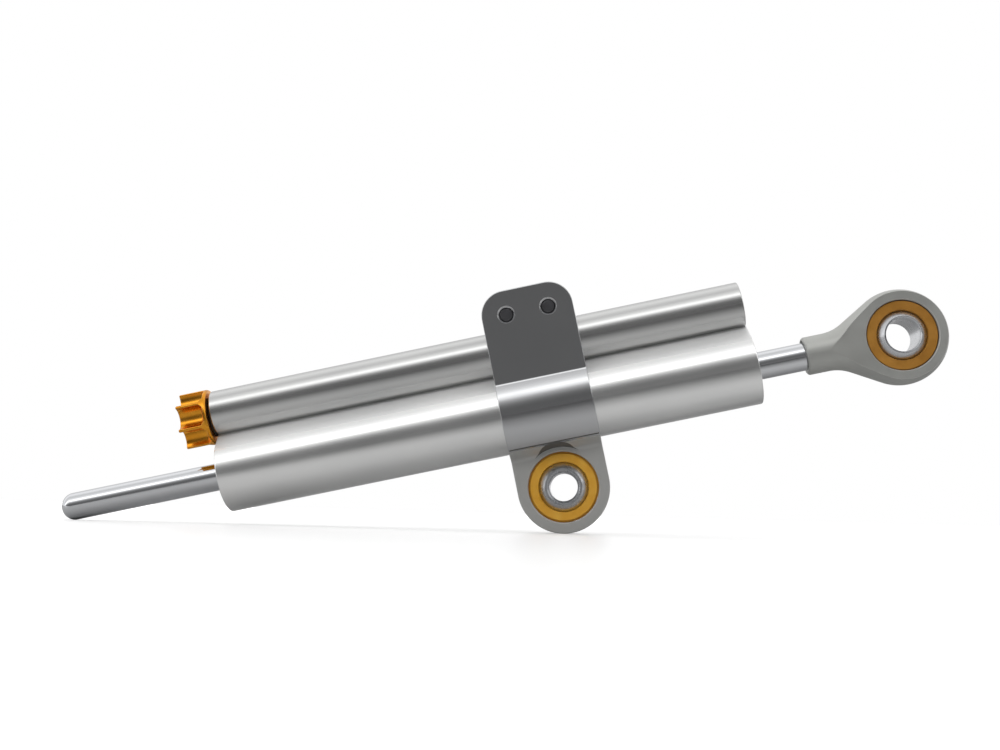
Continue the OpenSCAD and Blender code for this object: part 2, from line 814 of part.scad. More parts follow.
// Rod eye: turned to a neck that flares into a ball end, milled flat and bored for the bearing
module rod_eye() {
    color("darkgray") difference() {
        intersection() {
            union() {
                along_x(eye_rim_x, rod_z) rotate_extrude($fn = round_fn) polygon(concat(
                    [[0, 0]],
                    [for (a = [0:round_step:90])
                        [neck_r - rim_round * (1 - sin(a)), rim_round * (1 - cos(a))]],
                    [for (i = [0:flare_steps])
                        let (a = flare_angle * i / flare_steps)
                        [neck_r + flare_r * (1 - cos(a)), flare_x0 + flare_r * sin(a)]],
                    [[flare_r2, flare_x2], [0, flare_x2]]
                ));
                across(eye_x, rod_z) sphere(r = eye_r, $fn = round_fn);
            }
            translate([eye_rim_x - past, -eye_t / 2, rod_z - eye_r - past])
                cube([neck_l + eye_r + 2 * past, eye_t, 2 * (eye_r + past)]);
        }
        along_x(eye_rim_x, rod_z) {
            bar(rod_r + seat_gap, -past, past + socket_l);
            cone(mouth_r + past * (mouth_r - rod_r) / mouth_l, rod_r, -past, past + mouth_l);
            bar(stub_r + seat_gap, 0, socket_l + stub_l + shoulder_gap);
        }
        across(eye_x, rod_z) bar(seat_r, -eye_t, 2 * eye_t);
        for (back = [0, 1]) mirror([0, back, 0]) across(eye_x, rod_z)
            cone(seat_r, seat_r + seat_chamfer + past, eye_t / 2 - seat_chamfer, seat_chamfer + past);
    }
}

// Lobed knob with a round flange, a cavity for the boss and a hexagon hole for the spindle
module adjuster_knob() {
    color("orange") valve_out() difference() {
        rotate_extrude($fn = round_fn) polygon([
            [0, knob_gap],
            [knob_r - knob_chamfer, knob_gap],
            [knob_r, knob_gap + knob_chamfer],
            [knob_r, knob_end - knob_chamfer],
            [knob_r - knob_chamfer, knob_end],
            [0, knob_end]
        ]);
        for (i = [0:knob_lobes - 1]) rotate(first_lobe + (i + 0.5) * 360 / knob_lobes)
            translate([scallop_at, 0, 0]) {
                bar(scallop_r, scallop_start + scallop_run, knob_l, small_fn);
                cone(scallop_r - scallop_run, scallop_r, scallop_start, scallop_run, small_fn);
            }
        bar(cavity_r, 0, cavity_floor);
        cylinder(r = hex_hole_r, h = knob_end + past, $fn = 6);
        bar(dish_r, knob_end - dish_l, dish_l + past);
        cord_ring(click_r, detent_r + running_gap, detent_z);
        for (i = [0:clicks_per_turn - 1]) rotate(360 * i / clicks_per_turn)
            translate([click_r, 0, detent_z + click_rise]) sphere(r = detent_r + running_gap, $fn = small_fn);
        rotate(grub_angle) translate([0, 0, grub_at]) rotate([0, 90, 0])
            bar(grub_r + seat_gap, 0, knob_r + past, small_fn);
    }
}

// Small screw through the flange side of the knob that keeps it on the boss
module knob_grub_screw() {
    tip_r = boss_r - grub_groove + grub_tip_gap;
    end_r = knob_r - scallop_depth + grub_tip_gap;
    color("dimgray") valve_out() rotate(grub_angle) translate([0, 0, grub_at]) rotate([0, 90, 0])
        difference() {
            bar(grub_r, tip_r, end_r - tip_r, small_fn);
            translate([0, 0, end_r - grub_socket_l]) cylinder(r = grub_socket_r, h = knob_r, $fn = 6);
        }
}

// Dark ring that seals the gap behind the knob
module knob_o_ring() {
    ring_cord = (knob_gap - 2 * shoulder_gap) / 2;
    color("black") valve_out() cord_ring(flange_r + ring_cord + seat_gap, ring_cord, knob_gap / 2);
}

// Valve body: screwed into the bypass tube, with a boss for the knob and a bore for the spindle
module valve_body() {
    color("darkkhaki") difference() {
        valve_out() union() {
            bar(valve_r, -valve_l, valve_l);
            bar(flange_r, 0, flange_l);
            bar(boss_r, 0, boss_l);
        }
        valve_out() {
            bar(spindle_r + running_gap, -gland_at - past, gland_at + past + boss_l + past);
            bar(thread_r + running_gap, -chamber_at - past, chamber_at + past - gland_at);
            bar(chamber_r, -valve_l - past, valve_l + past - chamber_at);
            pipe(boss_r + past, boss_r - grub_groove, grub_at - grub_r - grub_tip_gap,
                2 * (grub_r + grub_tip_gap));
            rotate(first_lobe) translate([click_r, 0, 0])
                bar(detent_r + running_gap, detent_hole_at, boss_l, small_fn);
            pipe(valve_r + past, valve_r - ring_groove_d, -valve_ring_at - groove_w / 2, groove_w);
            pipe(valve_r + past, valve_r - oil_groove_d, -port_in - oil_groove_w / 2, oil_groove_w);
        }
        for (i = [0:oil_holes - 1]) valve_out() rotate((i + 0.5) * 360 / oil_holes)
            translate([0, 0, -port_in]) rotate([0, 90, 0]) bar(oil_hole_r, 0, valve_r + past, small_fn);
    }
}

module valve_o_ring() {
    color("black") valve_in() cord_ring(valve_r - ring_cord_r, ring_cord_r, valve_ring_at);
}

// Brass seat with the orifice that the needle closes
module valve_seat() {
    color("gold") valve_in() difference() {
        bar(valve_r, valve_l + shoulder_gap, seat_l);
        bar(orifice_r, valve_l, seat_l + past);
        cone(orifice_r, bypass_r, valve_l + seat_l / 2, seat_l / 2 + 2 * shoulder_gap);
    }
}

// Spindle that turns with the knob and screws the needle towards its seat
module adjuster_needle() {
    thread_at = gland_at + needle_travel + spindle_play;
    color("lightgray") valve_out() {
        translate([0, 0, hex_start]) cylinder(r = hex_r, h = hex_end - hex_start, $fn = 6);
        bar(spindle_r, -thread_at, hex_start + thread_at);
        difference() {
            bar(thread_r, -chamber_at, chamber_at - thread_at);
            pipe(thread_r + past, thread_r - gland_groove_d, -gland_groove_at - gland_groove_w / 2,
                gland_groove_w);
        }
        bar(needle_r, -needle_start, needle_start - chamber_at);
        cone(needle_tip_r, needle_r, -needle_start - needle_tip_l, needle_tip_l);
    }
}

module needle_o_ring() {
    color("black") valve_out() cord_ring(thread_r + 0.01 - gland_cord_r, gland_cord_r, -gland_groove_at);
}

// Ball and spring of the click stop, in a hole of the boss
module detent_ball() {
    color("gainsboro") valve_out() rotate(first_lobe)
        translate([click_r, 0, detent_z]) sphere(r = detent_r, $fn = small_fn);
}

module detent_spring() {
    coil_r = detent_r - detent_wire_r - seat_gap;
    coil_l = detent_z - detent_r - detent_hole_at - 2 * shoulder_gap;
    color("slategray") valve_out() rotate(first_lobe) translate([click_r, 0, 0])
        coil_spring(coil_r, detent_wire_r, detent_hole_at + shoulder_gap, coil_l, detent_turns);
}

// Cup shaped piston that lets the oil expand against its spring
module comp_piston() {
    color("tan") plug_end() difference() {
        bar(comp_r, comp_at, comp_l);
        bar(cup_r, comp_at - past, comp_cup + past);
        pipe(comp_r + past, comp_r - comp_groove_d, comp_groove_at - comp_groove_w / 2, comp_groove_w);
    }
}

module comp_o_ring() {
    color("black") plug_end() cord_ring(comp_r - comp_cord_r, comp_cord_r, comp_groove_at);
}

module comp_spring() {
    color("slategray") plug_end()
        coil_spring(spring_r, spring_wire_r, plug_face + shoulder_gap, spring_l, spring_turns);
}

// End plug of the bypass tube, with a hexagon socket
module reservoir_plug() {
    color("silver") plug_end() difference() {
        bar(valve_r, plug_in, plug_l);
        pipe(valve_r + past, valve_r - ring_groove_d, plug_groove_at - groove_w / 2, groove_w);
        cylinder(r = plug_hex_r, h = plug_in + plug_l / 2, $fn = 6);
        cone(plug_mouth_r + plug_in, plug_mouth_r - plug_mouth_l, 0, plug_in + plug_mouth_l);
    }
}

module plug_o_ring() {
    color("black") plug_end() cord_ring(valve_r - ring_cord_r, ring_cord_r, plug_groove_at);
}

body();
clamp();
clamp_screws();
clamp_race();
clamp_ball();
seal_head_left();
seal_head_right();
rod_bush_left();
rod_bush_right();
rod_seal_left();
rod_seal_right();
rod_wiper_left();
rod_wiper_right();
head_o_ring_left();
head_o_ring_right();
retaining_ring_left();
retaining_ring_right();
piston_rod();
piston();
piston_glide_ring();
piston_o_ring();
piston_shims();
piston_clips();
rod_eye();
eye_race();
eye_ball();
adjuster_knob();
knob_grub_screw();
knob_o_ring();
valve_body();
valve_o_ring();
valve_seat();
adjuster_needle();
needle_o_ring();
detent_ball();
detent_spring();
comp_piston();
comp_o_ring();
comp_spring();
reservoir_plug();
plug_o_ring();
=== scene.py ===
import json
import math
import bmesh
import bpy
from mathutils import Matrix, Vector


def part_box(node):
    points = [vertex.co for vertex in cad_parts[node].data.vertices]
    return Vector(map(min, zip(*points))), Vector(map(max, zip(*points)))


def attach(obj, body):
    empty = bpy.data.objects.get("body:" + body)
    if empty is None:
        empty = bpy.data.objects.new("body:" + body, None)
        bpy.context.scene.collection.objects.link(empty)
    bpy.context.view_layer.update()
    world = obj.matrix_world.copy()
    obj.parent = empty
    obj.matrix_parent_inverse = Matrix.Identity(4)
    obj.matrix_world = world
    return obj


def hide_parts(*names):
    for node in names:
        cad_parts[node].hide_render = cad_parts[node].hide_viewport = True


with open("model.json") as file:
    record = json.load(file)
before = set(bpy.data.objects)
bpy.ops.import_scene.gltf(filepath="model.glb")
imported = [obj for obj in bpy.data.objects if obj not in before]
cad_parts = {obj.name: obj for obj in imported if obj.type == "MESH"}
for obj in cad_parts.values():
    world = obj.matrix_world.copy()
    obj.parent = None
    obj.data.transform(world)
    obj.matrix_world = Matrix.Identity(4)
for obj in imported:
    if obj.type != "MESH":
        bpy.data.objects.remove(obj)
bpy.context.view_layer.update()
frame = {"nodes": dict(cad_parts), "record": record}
mm = 0.001

# Twin tube body. The real one is an aluminium extrusion with two bores and a web between
# them that narrows like a roof, with lightly broken ends, clear anodised to a satin silver.
# The clamp grips it, and the seal heads and the adjuster sit in its bores.
fit_gap = 0.02 * mm
body_low, body_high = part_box("body")
body_l = body_high.x - body_low.x
tube_r = body_high.y
rod_z = body_low.z + tube_r
bypass_wall = 2 * mm
bypass_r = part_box("reservoir_plug")[1].y + fit_gap + bypass_wall
bypass_z = body_high.z - bypass_r
bypass_bore_r = bypass_r - bypass_wall
bypass_depth = 34 * mm
knob_low, knob_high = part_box("adjuster_knob")
adjuster_z = (knob_low.z + knob_high.z) / 2
head_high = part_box("seal_head_left")[1]
head_depth = head_high.x - body_low.x
head_r = head_high.y + fit_gap
head_ledge = 0.5 * mm
bore_r = head_r - head_ledge
ring_low, ring_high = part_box("retaining_ring_left")
groove_play = 0.05 * mm
ring_r = ring_high.y + fit_gap
ring_from = ring_low.x - body_low.x - groove_play
ring_to = ring_high.x - body_low.x + groove_play
end_round = 0.4 * mm
mouth_round = 0.3 * mm
web_angle = math.radians(58)
web_depth = 0.6 * mm
web_sink = 0.02 * mm
smooth_angle = math.radians(34)
same_place = 0.002 * mm


def open_corners(corners, steps=6):
    """Turned outline from corners (along, radius, rounding), with each rounding as an arc."""
    points = []
    for i, (x, r, rounding) in enumerate(corners):
        if rounding == 0:
            points.append((x, r))
            continue
        here = Vector((x, r))
        before = (Vector(corners[i - 1][:2]) - here).normalized()
        after = (Vector(corners[(i + 1) % len(corners)][:2]) - here).normalized()
        half = before.angle(after) / 2
        reach = rounding / math.tan(half)
        centre = here + (before + after).normalized() * rounding / math.sin(half)
        first = here + before * reach - centre
        last = here + after * reach - centre
        a = math.atan2(first.y, first.x)
        sweep = (math.atan2(last.y, last.x) - a + math.pi) % (2 * math.pi) - math.pi
        for k in range(steps + 1):
            turn = a + sweep * k / steps
            points.append(centre + rounding * Vector((math.cos(turn), math.sin(turn))))
    return points


def new_piece(name, verts, faces):
    """Mesh object in the scene, from its points and faces."""
    mesh = bpy.data.meshes.new(name)
    mesh.from_pydata([tuple(v) for v in verts], [], faces)
    mesh.validate()
    piece = bpy.data.objects.new(name, mesh)
    bpy.context.scene.collection.objects.link(piece)
    return piece


def shade(piece):
    """Smooth shading that leaves machined faces flat and their edges crisp."""
    piece.data.shade_smooth()
    piece.data.set_sharp_from_angle(angle=smooth_angle)
    weighted = piece.modifiers.new("machined_normals", "WEIGHTED_NORMAL")
    weighted.keep_sharp = True
    weighted.weight = 80
    return piece


def turned(name, outline, place, steps=160):
    """Piece turned about the X axis of place. An outline that starts on the axis is closed
    there, and any other outline is the section of a ring."""
    on_axis = outline[0][1] == 0
    rings = outline[1:-1] if on_axis else outline
    verts = []
    for x, r in rings:
        for k in range(steps):
            a = 2 * math.pi * k / steps
            verts.append(place @ Vector((x, r * math.cos(a), r * math.sin(a))))
    pairs = len(rings) - 1 if on_axis else len(rings)
    faces = []
    for i in range(pairs):
        j = (i + 1) % len(rings)
        for k in range(steps):
            m = (k + 1) % steps
            faces.append((i * steps + k, i * steps + m, j * steps + m, j * steps + k))
    if on_axis:
        faces.append(tuple(range(steps))[::-1])
        faces.append(tuple(range((len(rings) - 1) * steps, len(rings) * steps)))
    return outward(new_piece(name, verts, faces))


def outward(piece):
    """Turns every face of a closed piece outwards."""
    build = bmesh.new()
    build.from_mesh(piece.data)
    bmesh.ops.recalc_face_normals(build, faces=build.faces)
    build.to_mesh(piece.data)
    build.free()
    return piece


def weld(piece):
    """Merges points that share a place, and turns the faces outwards."""
    build = bmesh.new()
    build.from_mesh(piece.data)
    bmesh.ops.remove_doubles(build, verts=build.verts, dist=same_place)
    build.to_mesh(piece.data)
    build.free()
    return outward(piece)


def carve(piece, tools, operation="DIFFERENCE"):
    """Cuts the tools out of a piece, or joins them to it, and removes them."""
    for tool in tools:
        cut = piece.modifiers.new("carve", "BOOLEAN")
        cut.object = tool
        cut.operation = operation
        cut.solver = "EXACT"
    bpy.context.view_layer.update()
    ready = piece.evaluated_get(bpy.context.evaluated_depsgraph_get())
    mesh = bpy.data.meshes.new_from_object(ready)
    piece.modifiers.clear()
    piece.data = mesh
    for tool in tools:
        bpy.data.objects.remove(tool)
    return piece


def block(name, low, high):
    """Plain cutting block between two corners."""
    ends = (low, high)
    verts = [(a[0], b[1], c[2]) for a in ends for b in ends for c in ends]
    faces = [(0, 1, 3, 2), (4, 6, 7, 5), (0, 4, 5, 1), (2, 3, 7, 6), (0, 2, 6, 4), (1, 5, 7, 3)]
    return outward(new_piece(name, verts, faces))


def along_tube(x, z):
    """Place on an axis along X."""
    return Matrix.Translation((x, 0, z))


def straight(start, end, r):
    """Outline of a straight round hole."""
    return [(start, 0), (start, r), (end, r), (end, 0)]


main_outline = open_corners([
    (0, tube_r, end_round),
    (body_l, tube_r, end_round),
    (body_l, head_r, mouth_round),
    (body_l - ring_from, head_r, 0),
    (body_l - ring_from, ring_r, 0),
    (body_l - ring_to, ring_r, 0),
    (body_l - ring_to, head_r, 0),
    (body_l - head_depth, head_r, 0),
    (body_l - head_depth, bore_r, 0),
    (head_depth, bore_r, 0),
    (head_depth, head_r, 0),
    (ring_to, head_r, 0),
    (ring_to, ring_r, 0),
    (ring_from, ring_r, 0),
    (ring_from, head_r, 0),
    (0, head_r, mouth_round),
])
bypass_outline = open_corners([
    (0, bypass_r, end_round),
    (body_l, bypass_r, end_round),
    (body_l, bypass_bore_r, mouth_round),
    (body_l - bypass_depth, bypass_bore_r, 0),
    (body_l - bypass_depth, bypass_bore_r / 2, 0),
    (0, bypass_bore_r / 2, 0),
])


def skin(rings, count):
    """Faces between closed rings of points that follow each other, with count points each."""
    faces = []
    for i in range(rings - 1):
        for k in range(count):
            m = (k + 1) % count
            faces.append((i * count + k, i * count + m, (i + 1) * count + m, (i + 1) * count + k))
    return faces


def prism(name, loops):
    """Closed piece through outlines (along, [(y, z), ...]) that have as many points each."""
    count = len(loops[0][1])
    verts = [(x, y, z) for x, outline in loops for y, z in outline]
    ends = [tuple(range(count)), tuple(range((len(loops) - 1) * count, len(loops) * count))]
    return outward(new_piece(name, verts, ends + skin(len(loops), count)))


def web_section(inset):
    """Section of the web: a roof up into the bypass tube's wall, over an arc in the main one."""
    side = tube_r - web_sink - inset
    low_r = tube_r - web_depth
    foot = (side * math.cos(web_angle), rod_z + side * math.sin(web_angle))
    ridge = rod_z + (tube_r - web_sink) / math.sin(web_angle)
    points = [foot, (0, ridge), (-foot[0], foot[1])]
    for k in range(25):
        a = math.pi - web_angle - (math.pi - 2 * web_angle) * k / 24
        points.append((low_r * math.cos(a), rod_z + low_r * math.sin(a)))
    return points


def web():
    """Web between the tubes, with the same broken edges at its ends."""
    near = []
    for k in range(5):
        a = math.pi / 2 * k / 4
        section = web_section(end_round * (1 - math.sin(a)))
        near.append((body_low.x + end_round * (1 - math.cos(a)), section))
    far = [(body_low.x + body_high.x - x, section) for x, section in near[::-1]]
    return prism("web", near + far)


tubes = turned("twin_tube", main_outline, along_tube(body_low.x, rod_z), 256)
bypass = turned("bypass_tube", bypass_outline, along_tube(body_low.x, bypass_z), 192)
carve(tubes, [bypass, web()], "UNION")
adjuster_bore = straight(-mm, bypass_depth, bypass_bore_r)
carve(tubes, [turned("adjuster_bore", adjuster_bore, along_tube(body_low.x, adjuster_z), 128)])
shade(tubes)
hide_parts("body")
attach(tubes, "damper_body")


def finish_of(name, colour, roughness, metallic=1.0):
    """New material with its shader's plain values set."""
    made = bpy.data.materials.new(name)
    made.use_nodes = True
    shader = made.node_tree.nodes["Principled BSDF"]
    shader.inputs["Base Color"].default_value = (*colour, 1)
    shader.inputs["Metallic"].default_value = metallic
    shader.inputs["Roughness"].default_value = roughness
    return made, made.node_tree, shader


def grain(tree, scale, detail=4.0, stretch=(1, 1, 1)):
    """Noise over the piece, stretched along the way that it was worked."""
    where = tree.nodes.new("ShaderNodeTexCoord")
    mapping = tree.nodes.new("ShaderNodeMapping")
    mapping.inputs["Scale"].default_value = stretch
    noise = tree.nodes.new("ShaderNodeTexNoise")
    noise.inputs["Scale"].default_value = scale
    noise.inputs["Detail"].default_value = detail
    tree.links.new(where.outputs["Object"], mapping.inputs["Vector"])
    tree.links.new(mapping.outputs["Vector"], noise.inputs["Vector"])
    return noise.outputs["Fac"]


def spread(tree, fac, low, high):
    """Value that follows noise between two limits."""
    reach = tree.nodes.new("ShaderNodeMapRange")
    reach.inputs["From Min"].default_value = 0.3
    reach.inputs["From Max"].default_value = 0.7
    reach.inputs["To Min"].default_value = low
    reach.inputs["To Max"].default_value = high
    tree.links.new(fac, reach.inputs["Value"])
    return reach.outputs["Result"]


def tint(tree, fac, dark, light):
    """Colour that follows a value between two tones."""
    mix = tree.nodes.new("ShaderNodeMix")
    mix.data_type = "RGBA"
    mix.inputs["A"].default_value = (*dark, 1)
    mix.inputs["B"].default_value = (*light, 1)
    tree.links.new(fac, mix.inputs["Factor"])
    return mix.outputs["Result"]


def emboss(tree, shader, height, depth):
    """Fine relief from a height."""
    bump = tree.nodes.new("ShaderNodeBump")
    bump.inputs["Distance"].default_value = depth
    bump.inputs["Strength"].default_value = 1.0
    tree.links.new(height, bump.inputs["Height"])
    tree.links.new(bump.outputs["Normal"], shader.inputs["Normal"])


def edge_highlight_mask(tree, radius):
    """How close the surface is to an edge, from 0 to 1: the mask of a painted edge highlight."""
    bevel = tree.nodes.new("ShaderNodeBevel")
    bevel.samples = 4
    bevel.inputs["Radius"].default_value = radius
    flat = tree.nodes.new("ShaderNodeNewGeometry")
    dot = tree.nodes.new("ShaderNodeVectorMath")
    dot.operation = "DOT_PRODUCT"
    tree.links.new(bevel.outputs["Normal"], dot.inputs[0])
    tree.links.new(flat.outputs["Normal"], dot.inputs[1])
    reach = tree.nodes.new("ShaderNodeMapRange")
    reach.inputs["From Min"].default_value = 0.995
    reach.inputs["From Max"].default_value = 0.85
    tree.links.new(dot.outputs["Value"], reach.inputs["Value"])
    return reach.outputs["Result"]


def satin_tube(name, tone, roughness, metallic):
    """Satin anodised aluminium with a fine lengthwise grain and faint mottling."""
    made, tree, shader = finish_of(name, (tone, tone, tone), roughness, metallic)
    lengthwise = grain(tree, 900, 3, (0.02, 1, 1))
    mottle = grain(tree, 60, 5, (0.4, 1, 1))
    dark = (tone * 0.95, tone * 0.955, tone * 0.95)
    light = (tone * 1.04, tone * 1.04, tone * 1.03)
    colour = tint(tree, spread(tree, mottle, 0, 1), dark, light)
    sheen = spread(tree, mottle, roughness - 0.03, roughness + 0.04)
    tree.links.new(colour, shader.inputs["Base Color"])
    tree.links.new(sheen, shader.inputs["Roughness"])
    emboss(tree, shader, lengthwise, 0.004 * mm)
    return made


tubes.data.materials.clear()
# The main tube's finish is a paler copy of the bypass tube's, painted light that makes it read
# brighter.
tubes.data.materials.append(satin_tube("satin_main_tube_painted_light", 0.92, 0.23, 1.0))
tubes.data.materials.append(satin_tube("satin_bypass_tube", 0.62, 0.22, 1.0))
tubes.data.materials.append(satin_tube("satin_crease_painted_light", 0.95, 0.38, 0.25))

# Above this angle the main tube gets a paler, more diffuse copy of its finish, a painted highlight
# that keeps it pale where the bypass tube shades it.
crease_angle = math.radians(41)
crease_from = rod_z + tube_r * math.sin(crease_angle)
bypass_from = rod_z + tube_r + 0.3 * mm
for face in tubes.data.polygons:
    if face.center.z > bypass_from:
        face.material_index = 1
    elif face.center.z > crease_from:
        face.material_index = 2

# Clamp. It is milled from one aluminium block: a flat plate at the bypass tube, a round bulge
# at the main tube and a thinner lug for the bearing, split at the top so that its two screws
# can pull it tight. The plate and bulge are polished, and the lug's faces are milled matt.
clamp_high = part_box("clamp")[1]
screw_low, screw_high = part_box("clamp_screws")
lug_r = clamp_high.x
screw_sink = 0.2 * mm
plate_y = screw_high.y + screw_sink
bulge_r = clamp_high.y
lug_y = 5.5 * mm
clamp_top = clamp_high.z
corner_r = 7 * mm
corner_steps = 16
plate_hollow = 1.5 * mm
lug_hollow = 2 * mm
hollow_steps = 6
bulge_steps = 48
lug_steps = 64
edge_r = 0.3 * mm
bore_break = 0.25 * mm
race_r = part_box("clamp_race")[1].x
seat_r = race_r + fit_gap
relief_r = 11.3 * mm
relief_far = 20 * mm
relief_slope = math.tan(math.radians(19))
slot_half = 1 * mm
head_reach = 3.5 * mm
screw_x = screw_high.x - head_reach
screw_z = (screw_low.z + screw_high.z) / 2
thread_hole_r = 2.05 * mm
thread_mouth_r = 2.5 * mm
counterbore_r = 3.7 * mm
counterbore_break = 0.2 * mm
counterbore_depth = 4.2 * mm


def hollow_rows(face, r, turn):
    """Heights and depths through the round hollow between a flat face and the bulge."""
    centre_y = face + r
    drop = math.sqrt((bulge_r + r) ** 2 - centre_y ** 2)
    touch_y = bulge_r * centre_y / (bulge_r + r)
    touch_z = bulge_r * drop / (bulge_r + r)
    touch = math.atan2(touch_z - drop, touch_y - centre_y)
    hollow = []
    for k in range(hollow_steps + 1):
        a = touch * (1 - k / hollow_steps) - math.pi * k / hollow_steps
        hollow.append((rod_z + turn * (drop + r * math.sin(a)), centre_y + r * math.cos(a)))
    return hollow


def clamp_rows():
    """Heights and depths of the clamp's faces from the lug up to the plate."""
    upper = hollow_rows(plate_y, plate_hollow, 1)
    lower = hollow_rows(lug_y, lug_hollow, -1)
    high = math.asin((upper[0][0] - rod_z) / bulge_r)
    low = math.asin((lower[0][0] - rod_z) / bulge_r)
    bulge = []
    for k in range(1, bulge_steps):
        a = low + (high - low) * k / bulge_steps
        bulge.append((rod_z + bulge_r * math.sin(a), bulge_r * math.cos(a)))
    return lower[::-1] + bulge + upper


rows = clamp_rows()


def clamp_depth(z):
    """Half thickness of the clamp at a height."""
    if z <= rows[0][0]:
        return lug_y
    if z >= rows[-1][0]:
        return plate_y
    for (z0, y0), (z1, y1) in zip(rows, rows[1:]):
        if z0 <= z <= z1:
            return y0 + (y1 - y0) * (z - z0) / (z1 - z0)


def clamp_outline(inset):
    """Front outline of the clamp, drawn in by inset: lug, right side, corners, left side."""
    points = []
    for k in range(lug_steps + 1):
        a = math.pi + math.pi * k / lug_steps
        points.append(((lug_r - inset) * math.cos(a), (lug_r - inset) * math.sin(a)))
    points += [(lug_r - inset, z) for z, y in rows]
    for side in (1, -1):
        for k in range(corner_steps + 1):
            share = k / corner_steps
            a = math.pi / 2 * (share if side > 0 else 1 + share)
            points.append((
                side * (lug_r - corner_r) + (corner_r - inset) * math.cos(a),
                clamp_top - corner_r + (corner_r - inset) * math.sin(a),
            ))
    points += [(inset - lug_r, z) for z, y in rows[::-1]]
    return points


def clamp_shell():
    """Outer faces of the clamp with rounded edges, before it is bored."""
    rings = []
    for side in (-1, 1):
        turns = [90, 68, 45, 22, 0] if side < 0 else [0, 22, 45, 68, 90]
        for t in turns:
            a = math.radians(t)
            outline = clamp_outline(edge_r * (1 - math.cos(a)))
            rise = edge_r * math.sin(a) - edge_r
            rings.append([(x, side * (clamp_depth(z) + rise), z) for x, z in outline])
    count = len(rings[0])
    verts = [v for ring in rings for v in ring]
    faces = skin(len(rings), count)
    right = lug_steps + 1
    left = count - 1
    for base in (0, (len(rings) - 1) * count):
        faces.append(tuple(base + k for k in range(right + 1)) + (base + left,))
        for i in range(len(rows) - 1):
            near = base + right + i
            far = base + left - i
            faces.append((near, near + 1, far - 1, far))
        top_right = right + len(rows) - 1
        faces.append(tuple(base + k for k in range(top_right, left - len(rows) + 2)))
    return outward(new_piece("clamp_block", verts, faces))


def across(x, z):
    """Place on an axis across the damper."""
    return Matrix.Translation((x, 0, z)) @ Matrix.Rotation(math.pi / 2, 4, "Z")


def bore_tool(name, r, half, flare, place, steps=160):
    """Round cutter with a flare where it leaves the piece."""
    reach = 2 * half
    outline = [
        (-reach, 0), (-reach, r + flare), (-half, r + flare), (flare - half, r),
        (half - flare, r), (half, r + flare), (reach, r + flare), (reach, 0),
    ]
    return turned(name, outline, place, steps)


def relief_tool(side):
    """Cone that clears the bulge round the bearing."""
    far_r = relief_r + (relief_far - lug_y) * relief_slope
    outline = [
        (side * lug_y, 0), (side * lug_y, relief_r),
        (side * relief_far, far_r), (side * relief_far, 0),
    ]
    return turned("relief_tool", outline, across(0, 0))


def screw_tool(x):
    """Stepped cutter of one screw hole: chamfered thread in front, counterbore at the back."""
    clear = plate_y + 2 * mm
    thread_from = thread_mouth_r - thread_hole_r - plate_y
    head_from = plate_y - counterbore_depth
    rim_r = counterbore_r + counterbore_break
    outline = [
        (-clear, 0), (-clear, thread_mouth_r), (-plate_y, thread_mouth_r),
        (thread_from, thread_hole_r), (head_from, thread_hole_r),
        (head_from, counterbore_r), (plate_y - counterbore_break, counterbore_r),
        (plate_y, rim_r), (clear, rim_r), (clear, 0),
    ]
    return turned("screw_tool", outline, across(x, screw_z), 64)


def web_channel():
    """Cutter of the channel that the web runs through."""
    across_y = tube_r * math.cos(web_angle)
    rise = tube_r * math.sin(web_angle)
    peak = tube_r / math.sin(web_angle)
    roof = [(0, rod_z), (across_y, rod_z + rise), (0, rod_z + peak), (-across_y, rod_z + rise)]
    return prism("web_channel", [(-2 * lug_r, roof), (2 * lug_r, roof)])


clamp = clamp_shell()
carve(clamp, [
    bore_tool("main_grip", tube_r + fit_gap, lug_r, bore_break, along_tube(0, rod_z)),
    bore_tool("bypass_grip", bypass_r + fit_gap, lug_r, bore_break, along_tube(0, bypass_z)),
    web_channel(),
    block("slot", (-2 * lug_r, -slot_half, bypass_z), (2 * lug_r, slot_half, clamp_top + mm)),
    bore_tool("bearing_seat", seat_r, lug_y, bore_break, across(0, 0)),
    relief_tool(-1),
    relief_tool(1),
    screw_tool(-screw_x),
    screw_tool(screw_x),
])
shade(clamp)
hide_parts("clamp")
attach(clamp, "damper_body")


def polished_clamp():
    """Nearly polished aluminium with a fine grain along the rod and faint smears."""
    made, tree, shader = finish_of("polished_clamp", (0.56, 0.565, 0.575), 0.16)
    lengthwise = grain(tree, 1400, 3, (0.02, 1, 1))
    smear = grain(tree, 70, 3)
    tree.links.new(spread(tree, smear, 0.13, 0.2), shader.inputs["Roughness"])
    # Edges are tinted paler: a painted highlight.
    tree.links.new(
        tint(tree, edge_highlight_mask(tree, 0.4 * mm), (0.56, 0.565, 0.575), (0.75, 0.75, 0.76)),
        shader.inputs["Base Color"],
    )
    emboss(tree, shader, lengthwise, 0.002 * mm)
    return made


def milled_aluminium(name, tone, roughness):
    """Finely milled aluminium with faint cutter marks, duller than the plate."""
    flat = (tone, tone, 0.97 * tone)
    made, tree, shader = finish_of(name, flat, roughness, 0.3)
    fine = grain(tree, 2500, 4)
    smear = spread(tree, grain(tree, 90, 3), roughness - 0.04, roughness + 0.06)
    tree.links.new(smear, shader.inputs["Roughness"])
    # Edges are tinted paler: a painted highlight.
    tree.links.new(
        tint(tree, edge_highlight_mask(tree, 0.35 * mm), flat, (1.36 * tone, 1.36 * tone, 1.34 * tone)),
        shader.inputs["Base Color"],
    )
    emboss(tree, shader, fine, 0.004 * mm)
    return made


